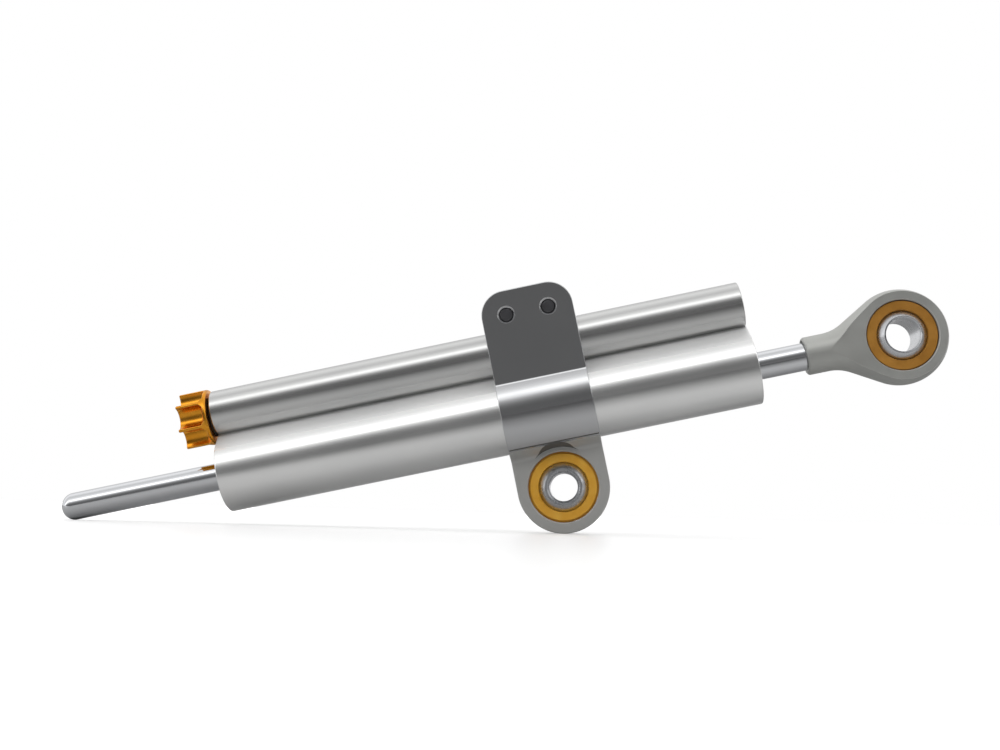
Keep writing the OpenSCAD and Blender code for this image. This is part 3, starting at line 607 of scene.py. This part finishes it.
clamp.data.materials.clear()
clamp.data.materials.append(polished_clamp())
clamp.data.materials.append(milled_aluminium("milled_lug", 0.50, 0.42))
# The relief cones round the bearing get a far darker copy of the milled finish, painted shade in
# the recess; the loop below marks their faces.
clamp.data.materials.append(milled_aluminium("relief_painted_shade", 0.13, 0.5))
matt_over_hollow = 1.5 * mm
matt_to = rows[hollow_steps][0] + matt_over_hollow
relief_least = 0.05 * mm
relief_slack = 0.1 * mm
for face in clamp.data.polygons:
    middle = face.center
    above_lug = abs(middle.y) - lug_y
    relief_here = relief_r + above_lug * relief_slope + relief_slack
    relief_shade_mask = above_lug > relief_least and math.hypot(middle.x, middle.z) < relief_here
    if relief_shade_mask:
        face.material_index = 2
    elif middle.z < matt_to:
        face.material_index = 1

# Clamp screws. Two socket head cap screws of blackened steel, put in from the back, with
# their threaded tips a little under the front face.
screw_head_r = (screw_high.z - screw_low.z) / 2
head_h = 4 * mm
crest_r = 1.97 * mm
root_r = 1.65 * mm
thread_pitch = 0.7 * mm
tip_chamfer = 0.3 * mm
plain_shank = 4 * mm
socket_r = 1.72 * mm
socket_depth = 2 * mm


def cap_screw(x):
    """Socket head cap screw with rings for its thread and a hexagon socket."""
    corners = [
        (screw_low.y, 0, 0),
        (screw_low.y, root_r, 0.06 * mm),
        (screw_low.y + tip_chamfer, crest_r, 0.05 * mm),
    ]
    along = screw_low.y + tip_chamfer + thread_pitch
    while along < screw_high.y - head_h - plain_shank:
        corners.append((along - 0.5 * thread_pitch, root_r, 0))
        corners.append((along, crest_r, 0))
        along += thread_pitch
    corners += [
        (screw_high.y - head_h, crest_r, 0),
        (screw_high.y - head_h, screw_head_r, 0.2 * mm),
        (screw_high.y, screw_head_r, 0.45 * mm),
        (screw_high.y, 0, 0),
    ]
    screw = turned("clamp_screw", open_corners(corners), across(x, screw_z), 72)
    hexagon = straight(screw_high.y - socket_depth, screw_high.y + mm, socket_r)
    socket = turned("socket", hexagon, across(x, screw_z), 6)
    return shade(carve(screw, [socket]))


def black_steel():
    """Blackened steel, slightly oily, with a painted highlight at its edges."""
    made, tree, shader = finish_of("black_steel", (0.16, 0.16, 0.17), 0.32)
    blotch = grain(tree, 400, 4)
    tree.links.new(spread(tree, blotch, 0.25, 0.42), shader.inputs["Roughness"])
    # Edges are tinted paler: a painted highlight.
    tree.links.new(
        tint(tree, edge_highlight_mask(tree, 0.25 * mm), (0.16, 0.16, 0.17), (0.42, 0.42, 0.43)),
        shader.inputs["Base Color"],
    )
    emboss(tree, shader, grain(tree, 3000, 3), 0.003 * mm)
    return made


screw_finish = black_steel()
for number, x in enumerate((-screw_x, screw_x)):
    screw = cap_screw(x)
    screw.name = f"clamp_screw_{number + 1}"
    screw.data.materials.clear()
    screw.data.materials.append(screw_finish)
    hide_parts("clamp_screws")
    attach(screw, "damper_body")

# Spherical bearings. Each has a brass outer ring pressed into its lug and a ground steel
# ball that turns in it. The clamp's ring is bright and the rod eye's is duller.
ball_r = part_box("clamp_ball")[1].x
ball_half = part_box("clamp_ball")[1].y
race_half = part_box("clamp_race")[1].y
eye_x = (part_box("eye_ball")[0].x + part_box("eye_ball")[1].x) / 2
ball_play = 0.05 * mm
mouth_r = 7.2 * mm
mouth_bevel = 0.6 * mm
rim_break = 0.12 * mm
step_depth = 1.2 * mm


def sphere_arc(r, a0, a1, steps=16):
    """Points of a round outline about the middle of a bearing."""
    turns = [a0 + (a1 - a0) * k / steps for k in range(steps + 1)]
    return [(r * math.sin(a), r * math.cos(a)) for a in turns]


def bearing_race(name, step, place):
    """Outer ring: stepped edges outside, hollow seat and bevelled mouths inside."""
    seat = ball_r + ball_play
    turn = math.asin((race_half - mouth_bevel) / seat)
    inner = sphere_arc(seat, turn, -turn, 20)
    outer = open_corners([
        (*inner[-1], 0),
        (-race_half, mouth_r, rim_break),
        (-race_half, race_r - step, rim_break),
        (step_depth - race_half, race_r - step, 0),
        (step_depth - race_half, race_r, 0),
        (race_half - step_depth, race_r, 0),
        (race_half - step_depth, race_r - step, 0),
        (race_half, race_r - step, rim_break),
        (race_half, mouth_r, rim_break),
        (*inner[0], 0),
    ])
    return shade(turned(name, outer + inner[1:-1], place, 192))


def bearing_ball(name, bore_r, chamfer, place):
    """Ball with flat faces, a chamfered bore and crisp rims."""
    face_r = math.sqrt(ball_r ** 2 - ball_half ** 2)
    reach = math.asin(ball_half / ball_r)
    inner = open_corners([
        (ball_half, bore_r + chamfer, 0.05 * mm),
        (ball_half - chamfer, bore_r, 0.2 * mm),
        (chamfer - ball_half, bore_r, 0.2 * mm),
        (-ball_half, bore_r + chamfer, 0.05 * mm),
        (-ball_half, face_r, 0),
        (ball_half, face_r, 0),
    ])[:-2]
    return shade(turned(name, sphere_arc(ball_r, -reach, reach, 40) + inner, place, 192))


def turned_brass(name, dark, light, roughness):
    """Turned brass with fine rings round the bearing, tarnished in patches."""
    made, tree, shader = finish_of(name, light, roughness, 0.15)
    patch = grain(tree, 260, 4)
    colour = tint(tree, spread(tree, patch, 0, 1), dark, light)
    tarnish = spread(tree, patch, roughness - 0.05, roughness + 0.08)
    tree.links.new(colour, shader.inputs["Base Color"])
    tree.links.new(tarnish, shader.inputs["Roughness"])
    emboss(tree, shader, grain(tree, 2600, 3), 0.004 * mm)
    return made


def ground_steel():
    """Ground and polished steel with faint hairlines."""
    made, tree, shader = finish_of("ground_steel", (0.62, 0.63, 0.65), 0.27)
    hairline = grain(tree, 1800, 2, (1, 0.03, 1))
    tree.links.new(spread(tree, grain(tree, 300, 3), 0.22, 0.33), shader.inputs["Roughness"])
    emboss(tree, shader, hairline, 0.002 * mm)
    return made


bright_brass = turned_brass("bright_brass", (0.90, 0.44, 0.04), (0.98, 0.54, 0.07), 0.32)
dull_brass = turned_brass("dull_brass", (0.50, 0.22, 0.03), (0.66, 0.31, 0.05), 0.36)
ball_steel = ground_steel()
bearings = [
    ("clamp", across(0, 0), "damper_body", bright_brass, "bright_brass", 0.55, 4.0, 0.69),
    ("eye", across(eye_x, rod_z), "rod_assembly", dull_brass, "dull_brass", 0.25, 4.75, 0.35),
]
for name, place, ring_body, brass, brass_slot, *sizes in bearings:
    step, bore, chamfer = (size * mm for size in sizes)
    race = bearing_race(f"{name}_bearing_race", step, place)
    race.data.materials.append(brass)
    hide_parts(f"{name}_race")
    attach(race, ring_body)
    ball = bearing_ball(f"{name}_bearing_ball", bore, chamfer, place)
    ball.data.materials.append(ball_steel)
    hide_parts(f"{name}_ball")
    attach(ball, f"{name}_bearing_ball")

# Piston rod. Hard chromed and ground steel with a rounded nose; it runs right through the
# body and screws into the rod eye.
rod_low, rod_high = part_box("piston_rod")
rod_r = rod_high.y
nose_l = 3.7 * mm
stub_r = 3.25 * mm
eye_low, eye_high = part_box("rod_eye")
rod_in_eye = 2.95 * mm
rod_shoulder = eye_low.x + rod_in_eye


def rod():
    """Rod with an elliptical nose and a thinner stub for the eye."""
    nose = [(rod_low.x, 0)]
    for k in range(3, 25):
        a = math.pi / 2 * k / 24
        nose.append((rod_low.x + nose_l * (1 - math.cos(a)), rod_r * math.sin(a)))
    rest = open_corners([
        (rod_low.x + nose_l, rod_r, 0),
        (rod_shoulder, rod_r, 0.2 * mm),
        (rod_shoulder, stub_r, 0),
        (rod_high.x, stub_r, 0.4 * mm),
        (rod_high.x, 0, 0),
    ])[1:]
    return shade(turned("piston_rod_chromed", nose + rest, along_tube(0, rod_z), 160))


def hard_chrome():
    """Mirror chrome with the faint rings that grinding leaves and some thin scratches."""
    made, tree, shader = finish_of("hard_chrome", (0.70, 0.71, 0.73), 0.07)
    rings = grain(tree, 2400, 2, (1, 0.05, 0.05))
    tree.links.new(spread(tree, grain(tree, 160, 4), 0.05, 0.12), shader.inputs["Roughness"])
    emboss(tree, shader, rings, 0.0015 * mm)
    return made


chromed = rod()
chromed.data.materials.append(hard_chrome())
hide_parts("piston_rod")
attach(chromed, "rod_assembly")

# Rod eye. It is turned to a neck that flares into a ball end, then milled flat on both
# sides and bored for its bearing, and finished matt grey all over.
eye_r = (eye_high.z - eye_low.z) / 2
eye_half = eye_high.y
neck_r = 5.45 * mm
flare_angle = math.radians(30)
flare_hollow = 12 * mm
rim_round = 0.8 * mm
rod_seat_r = rod_r + fit_gap
rod_seat_depth = 3 * mm
stub_hole_r = 3.32 * mm
stub_hole_depth = 13.9 * mm


def eye_stations():
    """Places along the eye and the turned radius at each."""
    end_x = eye_x - eye_r * math.sin(flare_angle)
    end_r = eye_r * math.cos(flare_angle)
    hollow_r = neck_r + flare_hollow * (1 - math.cos(flare_angle))
    hollow_x = end_x - (end_r - hollow_r) / math.tan(flare_angle)
    start_x = hollow_x - flare_hollow * math.sin(flare_angle)
    stations = []
    for k in range(9):
        a = math.pi / 2 * k / 8
        x = eye_low.x + rim_round * (1 - math.cos(a))
        stations.append((x, neck_r - rim_round * (1 - math.sin(a))))
    for k in range(37):
        a = flare_angle * k / 36
        x = start_x + flare_hollow * math.sin(a)
        stations.append((x, neck_r + flare_hollow * (1 - math.cos(a))))
    for k in range(1, 12):
        x = hollow_x + (end_x - hollow_x) * k / 12
        stations.append((x, hollow_r + (end_r - hollow_r) * k / 12))
    for k in range(111):
        a = math.pi / 2 - flare_angle + (math.pi / 2 + flare_angle) * k / 111
        stations.append((eye_x - eye_r * math.cos(a), eye_r * math.sin(a)))
    return stations


def eye_shell():
    """Turned form with its two milled flats, before it is bored."""
    round_steps = 40
    flat_steps = 16
    least = math.radians(2)
    verts = []
    for x, r in eye_stations():
        edge = max(least, math.acos(min(1, eye_half / r)))
        turns = [edge + (math.pi - 2 * edge) * k / round_steps for k in range(round_steps)]
        turns += [math.pi - edge + 2 * edge * k / flat_steps for k in range(flat_steps)]
        turns += [math.pi + t for t in turns[:round_steps]]
        turns += [2 * math.pi - edge + 2 * edge * k / flat_steps for k in range(flat_steps)]
        for t in turns:
            y = max(-eye_half, min(eye_half, r * math.cos(t)))
            verts.append((x, y, rod_z + r * math.sin(t)))
    count = 2 * (round_steps + flat_steps)
    rings = len(verts) // count
    last = (rings - 1) * count
    verts.append((eye_x + eye_r, 0, rod_z))
    faces = [tuple(range(count))] + skin(rings, count)
    for k in range(count):
        faces.append((last + k, last + (k + 1) % count, len(verts) - 1))
    return outward(new_piece("rod_eye_matt", verts, faces))


eye = eye_shell()
rod_socket = turned("rod_socket", [
    (-mm, 0), (-mm, 5.6 * mm), (0, 4.8 * mm), (1.1 * mm, rod_seat_r),
    (rod_seat_depth, rod_seat_r), (rod_seat_depth, stub_hole_r),
    (stub_hole_depth, stub_hole_r), (stub_hole_depth, 0),
], along_tube(eye_low.x, rod_z), 128)
eye_seat = bore_tool("eye_seat", seat_r, eye_half, bore_break, across(eye_x, rod_z), 192)
carve(eye, [rod_socket, eye_seat])
shade(eye)


def with_edge_highlight(tree, colour, radius, bright):
    """Colour that turns brighter at edges, a painted highlight."""
    edge = tree.nodes.new("ShaderNodeMix")
    edge.data_type = "RGBA"
    edge.inputs["B"].default_value = (*bright, 1)
    tree.links.new(colour, edge.inputs["A"])
    tree.links.new(edge_highlight_mask(tree, radius), edge.inputs["Factor"])
    return edge.outputs["Result"]


def matt_eye():
    """Matt grey anodised aluminium with a fine even grain, paler at its edges as a painted
    highlight.
    """
    made, tree, shader = finish_of("matt_eye", (0.52, 0.525, 0.50), 0.45, 0.5)
    patch = grain(tree, 120, 4)
    grey = tint(tree, spread(tree, patch, 0, 1), (0.49, 0.495, 0.47), (0.55, 0.555, 0.53))
    # Edges turn paler: a painted highlight.
    colour = with_edge_highlight(tree, grey, 0.35 * mm, (0.68, 0.68, 0.66))
    tree.links.new(colour, shader.inputs["Base Color"])
    tree.links.new(spread(tree, patch, 0.4, 0.5), shader.inputs["Roughness"])
    emboss(tree, shader, grain(tree, 3200, 3), 0.006 * mm)
    return made


eye.data.materials.clear()
eye.data.materials.append(matt_eye())
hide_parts("rod_eye")
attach(eye, "rod_assembly")

# Adjuster knob. Turned from aluminium and milled with seven round hollows that stop short of
# a flange, orange anodised, with a black ring between it and the tube.
knob_r = (knob_high.z - knob_low.z) / 2
lobes = 7
first_lobe = math.radians(42)
scallop_r = 3.05 * mm
scallop_depth = 3.5 * mm
scallop_at = knob_r - scallop_depth + scallop_r
lobe_round = 0.35 * mm
knob_edge = 0.35 * mm
flange_round = 0.75 * mm
flange_l = 0.9 * mm
run_out = 1.2 * mm
tip_steps = 8
dish_r = 3.3 * mm
dish_floor_r = 2.8 * mm
dish_depth = 0.6 * mm
spindle_r = 1.52 * mm
spindle_depth = 5 * mm
cavity_r = 3.45 * mm
cavity_from = 4.9 * mm
cavity_to = 10 * mm
grub_r = 1.02 * mm


def arc(x, y, r, start, end, steps):
    """Points of an arc from one angle to another."""
    turns = [start + (end - start) * k / steps for k in range(steps + 1)]
    return [(x + r * math.cos(a), y + r * math.sin(a)) for a in turns]


def lobe_angles(hollow):
    """Half the angle that a hollow takes up, and the angle at which its corners face it."""
    tip = knob_r - lobe_round
    reach = hollow + lobe_round
    half = math.acos((tip ** 2 + scallop_at ** 2 - reach ** 2) / (2 * tip * scallop_at))
    return half, math.atan2(tip * math.sin(half), scallop_at - tip * math.cos(half))


def all_lobes(period):
    """One lobe and hollow repeated round the knob."""
    points = []
    for i in range(lobes):
        turn = first_lobe + (i + 0.5) * 2 * math.pi / lobes
        c, s = math.cos(turn), math.sin(turn)
        points += [(x * c - y * s, x * s + y * c) for x, y in period]
    return points


def lobed_loop(hollow, inset=0):
    """Outline through the lobes, drawn in by inset: tip, round corner, hollow, round corner."""
    tip = knob_r - lobe_round
    half, facing = lobe_angles(hollow)
    corner_x, corner_y = tip * math.cos(half), tip * math.sin(half)
    period = arc(0, 0, knob_r - inset, half - 2 * math.pi / lobes, -half, tip_steps)
    period += arc(corner_x, -corner_y, lobe_round - inset, -half, facing, 6)[1:]
    period += arc(scallop_at, 0, hollow + inset, facing - math.pi, -facing - math.pi, 22)[1:]
    period += arc(corner_x, corner_y, lobe_round - inset, -facing, half, 6)[1:-1]
    return all_lobes(period)


def flange_loop(hollow, count, inset=0):
    """Round outline with a point for every point of the lobed one."""
    half, facing = lobe_angles(hollow)
    period = arc(0, 0, knob_r - inset, half - 2 * math.pi / lobes, -half, tip_steps)
    period += arc(0, 0, knob_r - inset, -half, half, count // lobes - tip_steps)[1:-1]
    return all_lobes(period)


def knob():
    """Knob from stacked outlines: flange, run-outs of the hollows, lobes and end."""
    length = knob_high.x - knob_low.x
    narrow = scallop_r - run_out
    count = len(lobed_loop(narrow))
    quarter = [math.radians(a) for a in (0, 30, 60, 90)]
    loops = []
    for a in quarter:
        edge = flange_loop(narrow, count, flange_round * (1 - math.sin(a)))
        loops.append((flange_round * (1 - math.cos(a)), edge))
    loops.append((flange_l, flange_loop(narrow, count)))
    for k in range(6):
        loops.append((flange_l + run_out * k / 5, lobed_loop(narrow + run_out * k / 5)))
    for a in quarter:
        edge = lobed_loop(scallop_r, 0.9 * knob_edge * (1 - math.cos(a)))
        loops.append((length - knob_edge * (1 - math.sin(a)), edge))
    verts = []
    for along, loop in loops:
        verts += [(knob_high.x - along, y, adjuster_z + z) for z, y in loop]
    faces = [tuple(range(count))] + skin(len(loops), count)
    faces.append(tuple(range((len(loops) - 1) * count, len(loops) * count)))
    shell = weld(new_piece("lobed_knob", verts, faces))
    place = along_tube(knob_low.x, adjuster_z)
    grub_x = (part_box("knob_grub_screw")[0].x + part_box("knob_grub_screw")[1].x) / 2
    grub_place = (
        along_tube(grub_x, adjuster_z)
        @ Matrix.Rotation(-first_lobe - math.pi / lobes, 4, "X")
        @ Matrix.Rotation(-math.pi / 2, 4, "Y")
    )
    dish = [(-mm, 0), (-mm, dish_r), (dish_depth, dish_floor_r), (dish_depth, 0)]
    return shade(carve(shell, [
        turned("dish", dish, place, 96),
        turned("spindle_hole", straight(-mm, spindle_depth, spindle_r), place, 6),
        turned("cavity", straight(cavity_from, cavity_to, cavity_r), place, 96),
        turned("grub_hole", straight(2 * mm, 2 * knob_r, grub_r), grub_place, 48),
    ]))


def orange_anodised():
    """Orange anodised aluminium in patchy tones, paler at its edges as a painted highlight."""
    made, tree, shader = finish_of("orange_anodised", (0.80, 0.33, 0.03), 0.24)
    patch = grain(tree, 300, 4)
    orange = tint(tree, spread(tree, patch, 0, 1), (0.74, 0.29, 0.02), (0.86, 0.38, 0.04))
    # Edges turn paler: a painted highlight.
    colour = with_edge_highlight(tree, orange, 0.3 * mm, (0.92, 0.52, 0.16))
    tree.links.new(colour, shader.inputs["Base Color"])
    tree.links.new(spread(tree, patch, 0.2, 0.3), shader.inputs["Roughness"])
    emboss(tree, shader, grain(tree, 2000, 3, (0.05, 1, 1)), 0.004 * mm)
    return made


turn_knob = knob()
turn_knob.data.materials.clear()
turn_knob.data.materials.append(orange_anodised())
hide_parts("adjuster_knob")
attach(turn_knob, "knob_assembly")


def rubber():
    """Matt black seal rubber with a faint sheen and dusty patches."""
    made, tree, shader = finish_of("seal_rubber", (0.02, 0.02, 0.02), 0.5, 0.0)
    dust = grain(tree, 500, 4)
    colour = tint(tree, spread(tree, dust, 0, 1), (0.014, 0.014, 0.014), (0.035, 0.035, 0.034))
    tree.links.new(colour, shader.inputs["Base Color"])
    tree.links.new(spread(tree, dust, 0.42, 0.6), shader.inputs["Roughness"])
    emboss(tree, shader, grain(tree, 2200, 4), 0.006 * mm)
    return made


# Inner pieces. They come from the frame as they are, and show only at the ends of the tubes
# or when the rod moves, so each group just gets the finish of what it is made of.
def turned_aluminium():
    """Turned aluminium with fine rings."""
    made, tree, shader = finish_of("turned_aluminium", (0.52, 0.52, 0.53), 0.3)
    tree.links.new(spread(tree, grain(tree, 200, 4), 0.24, 0.38), shader.inputs["Roughness"])
    emboss(tree, shader, grain(tree, 1500, 3, (1, 0.1, 0.1)), 0.004 * mm)
    return made


def sintered_bronze():
    """Sintered bronze, porous and a little oily."""
    made, tree, shader = finish_of("sintered_bronze", (0.45, 0.28, 0.13), 0.4)
    pores = grain(tree, 2600, 5)
    colour = tint(tree, spread(tree, pores, 0, 1), (0.30, 0.18, 0.08), (0.50, 0.32, 0.15))
    tree.links.new(colour, shader.inputs["Base Color"])
    emboss(tree, shader, pores, 0.01 * mm)
    return made


def spring_steel():
    """Drawn spring steel with a phosphate grey skin."""
    made, tree, shader = finish_of("spring_steel", (0.30, 0.31, 0.33), 0.35)
    tree.links.new(spread(tree, grain(tree, 500, 4), 0.28, 0.45), shader.inputs["Roughness"])
    emboss(tree, shader, grain(tree, 2400, 3), 0.004 * mm)
    return made


def filled_plastic():
    """Bronze filled plastic of the glide ring."""
    made, tree, shader = finish_of("filled_plastic", (0.12, 0.08, 0.05), 0.5, 0.1)
    speck = grain(tree, 3000, 4)
    colour = tint(tree, spread(tree, speck, 0, 1), (0.07, 0.05, 0.03), (0.18, 0.12, 0.07))
    tree.links.new(colour, shader.inputs["Base Color"])
    emboss(tree, shader, speck, 0.005 * mm)
    return made


finishes = {
    "head_aluminium": turned_aluminium(),
    "body_aluminium": tubes.data.materials[1],
    "bronze": sintered_bronze(),
    "spring_steel": spring_steel(),
    "seal_rubber": rubber(),
    "glide_plastic": filled_plastic(),
    "bearing_steel": ball_steel,
    "bright_brass": bright_brass,
    "dark_steel": screw_finish,
}
replaced = {
    "body", "clamp", "clamp_screws", "clamp_race", "clamp_ball", "eye_race", "eye_ball",
    "piston_rod", "rod_eye", "adjuster_knob",
}
for part in frame["record"]["subparts"]:
    if part["node"] not in replaced:
        inner = frame["nodes"][part["node"]]
        inner.data.materials.clear()
        inner.data.materials.append(finishes[part["material_slot"]])

# Studio. The damper leans on its lug and the nose of its rod on a pale table, under a long
# soft light, with a white wall behind it and an unlit room behind the camera.
def table_lean():
    """Angle at which the table touches both the lug and the nose of the rod."""
    low, high = 0.0, math.radians(30)
    nose = Vector((rod_low.x + nose_l, rod_z))
    for _ in range(40):
        a = (low + high) / 2
        reach = math.hypot(nose_l * math.sin(a), rod_r * math.cos(a))
        clear = nose.x * math.sin(a) + nose.y * math.cos(a) - reach + lug_r
        low, high = (a, high) if clear > 0 else (low, a)
    return a


lean = table_lean()
table_size = 6.0
up = Vector((math.sin(lean), 0, math.cos(lean)))
bpy.ops.mesh.primitive_plane_add(size=table_size, location=-up * lug_r, rotation=(0, lean, 0))
table = bpy.context.object
table.name = "table"
table_near = -500
table_far = 100
# Grey of the table in reflections, by place across it in mm: painted light and shade, darker under
# and behind the damper and towards the far front edge.
table_shade_bands = [
    (-450, 0.08), (-200, 0.22), (-100, 0.42), (-50, 0.6),
    (-20, 0.58), (0, 0.42), (30, 0.28), (100, 0.25),
]


def band_ramp(tree, bands, start, end, full=1.0):
    """Grey ramp through bands of (place, value) from start to end, with full as its white."""
    ramp = tree.nodes.new("ShaderNodeValToRGB")
    stops = ramp.color_ramp.elements
    while len(stops) < len(bands):
        stops.new(0.5)
    for stop, (place, value) in zip(stops, bands):
        stop.position = (place - start) / (end - start)
        stop.color = (value / full, value / full, value / full, 1)
    return ramp


def pale_table():
    """White table that keeps soft shadows, and glows to the camera more strongly away from the
    damper. In reflections its colour follows bands across it, painted light and shade: palest just
    in front of the damper, darker under and behind it as a painted shadow, and darker towards its
    far front edge.
    """
    made, tree, shader = finish_of("pale_table", (0.82, 0.82, 0.82), 0.35, 0.0)
    shader.inputs["Specular IOR Level"].default_value = 0.2
    where = tree.nodes.new("ShaderNodeTexCoord")
    split = tree.nodes.new("ShaderNodeSeparateXYZ")
    across_table = tree.nodes.new("ShaderNodeMapRange")
    across_table.inputs["From Min"].default_value = table_near * mm
    across_table.inputs["From Max"].default_value = table_far * mm
    tree.links.new(where.outputs["Object"], split.inputs["Vector"])
    tree.links.new(split.outputs["Y"], across_table.inputs["Value"])
    mirrored_painted_shade = band_ramp(tree, table_shade_bands, table_near, table_far)
    tree.links.new(across_table.outputs["Result"], mirrored_painted_shade.inputs["Fac"])
    glow = tree.nodes.new("ShaderNodeEmission")
    seen = tree.nodes.new("ShaderNodeLightPath")
    shown = tree.nodes.new("ShaderNodeMix")
    shown.data_type = "RGBA"
    shown.inputs["B"].default_value = (0.82, 0.82, 0.82, 1)
    tree.links.new(seen.outputs["Is Camera Ray"], shown.inputs["Factor"])
    tree.links.new(mirrored_painted_shade.outputs["Color"], shown.inputs["A"])
    tree.links.new(shown.outputs["Result"], shader.inputs["Base Color"])
    lift = tree.nodes.new("ShaderNodeMath")
    lift.operation = "MULTIPLY"
    reach = tree.nodes.new("ShaderNodeVectorMath")
    reach.operation = "LENGTH"
    fade = tree.nodes.new("ShaderNodeMapRange")
    fade.inputs["From Min"].default_value = 120 * mm
    fade.inputs["From Max"].default_value = 600 * mm
    fade.inputs["To Min"].default_value = 0.26
    fade.inputs["To Max"].default_value = 0.6
    tree.links.new(where.outputs["Object"], reach.inputs[0])
    tree.links.new(reach.outputs["Value"], fade.inputs["Value"])
    tree.links.new(fade.outputs["Result"], lift.inputs[1])
    both = tree.nodes.new("ShaderNodeAddShader")
    output = tree.nodes["Material Output"]
    tree.links.new(seen.outputs["Is Camera Ray"], lift.inputs[0])
    tree.links.new(lift.outputs["Value"], glow.inputs["Strength"])
    tree.links.new(shader.outputs["BSDF"], both.inputs[0])
    tree.links.new(glow.outputs["Emission"], both.inputs[1])
    tree.links.new(both.outputs["Shader"], output.inputs["Surface"])
    return made


table.data.materials.append(pale_table())

# Brightness of the studio by height round the rod: 0 is behind the camera, 90 overhead and
# 180 behind the damper.
studio_bands = [
    (-180, 1.0), (-12, 0.3), (2, 0.17), (14, 0.15), (24, 0.22), (35, 0.6), (43, 1.7), (50, 2.1),
    (57, 1.2), (67, 0.95), (80, 0.75), (95, 0.95), (110, 1.15), (127, 0.9), (146, 0.7), (180, 1.0),
]


def studio_world():
    """World that is white to the camera and banded like the studio for everything else."""
    world = bpy.data.worlds.new("studio")
    bpy.context.scene.world = world
    world.use_nodes = True
    tree = world.node_tree
    tree.nodes.clear()
    where = tree.nodes.new("ShaderNodeTexCoord")
    split = tree.nodes.new("ShaderNodeSeparateXYZ")
    forward = tree.nodes.new("ShaderNodeMath")
    forward.operation = "MULTIPLY"
    forward.inputs[1].default_value = -1
    angle = tree.nodes.new("ShaderNodeMath")
    angle.operation = "ARCTAN2"
    share = tree.nodes.new("ShaderNodeMapRange")
    share.inputs["From Min"].default_value = -math.pi
    share.inputs["From Max"].default_value = math.pi
    peak = max(value for _, value in studio_bands)
    ramp = band_ramp(tree, studio_bands, -180, 180, peak)
    studio = tree.nodes.new("ShaderNodeBackground")
    studio.inputs["Strength"].default_value = peak
    white = tree.nodes.new("ShaderNodeBackground")
    white.inputs["Color"].default_value = (1, 1, 1, 1)
    white.inputs["Strength"].default_value = 1
    seen = tree.nodes.new("ShaderNodeLightPath")
    choose = tree.nodes.new("ShaderNodeMixShader")
    output = tree.nodes.new("ShaderNodeOutputWorld")
    tree.links.new(where.outputs["Generated"], split.inputs["Vector"])
    tree.links.new(split.outputs["Y"], forward.inputs[0])
    tree.links.new(split.outputs["Z"], angle.inputs[0])
    tree.links.new(forward.outputs["Value"], angle.inputs[1])
    tree.links.new(angle.outputs["Value"], share.inputs["Value"])
    tree.links.new(share.outputs["Result"], ramp.inputs["Fac"])
    tree.links.new(ramp.outputs["Color"], studio.inputs["Color"])
    tree.links.new(seen.outputs["Is Camera Ray"], choose.inputs["Fac"])
    tree.links.new(studio.outputs["Background"], choose.inputs[1])
    tree.links.new(white.outputs["Background"], choose.inputs[2])
    tree.links.new(choose.outputs["Shader"], output.inputs["Surface"])


studio_world()

# Camera. It stands in front of the clamp, 6 mm towards the eye and 9 mm below the bearing's
# middle, and is turned a little to the left, tipped a little upwards and rolled.
camera_at = Vector((6.43, -362.02, -9.1)) * mm
camera_turn = math.radians(2.86)
camera_rise = math.radians(7.01)
camera_roll = math.radians(-11.33)
lens = bpy.data.cameras.new("camera")
lens.lens = 45.3
lens.sensor_width = 36
lens.clip_start = mm
camera = bpy.data.objects.new("camera", lens)
bpy.context.scene.collection.objects.link(camera)
camera.matrix_world = (
    Matrix.Translation(camera_at)
    @ Matrix.Rotation(camera_turn, 4, "Z")
    @ Matrix.Rotation(math.pi / 2 + camera_rise, 4, "X")
    @ Matrix.Rotation(camera_roll, 4, "Z")
)
bpy.context.scene.camera = camera
bpy.context.scene.view_settings.view_transform = "Standard"
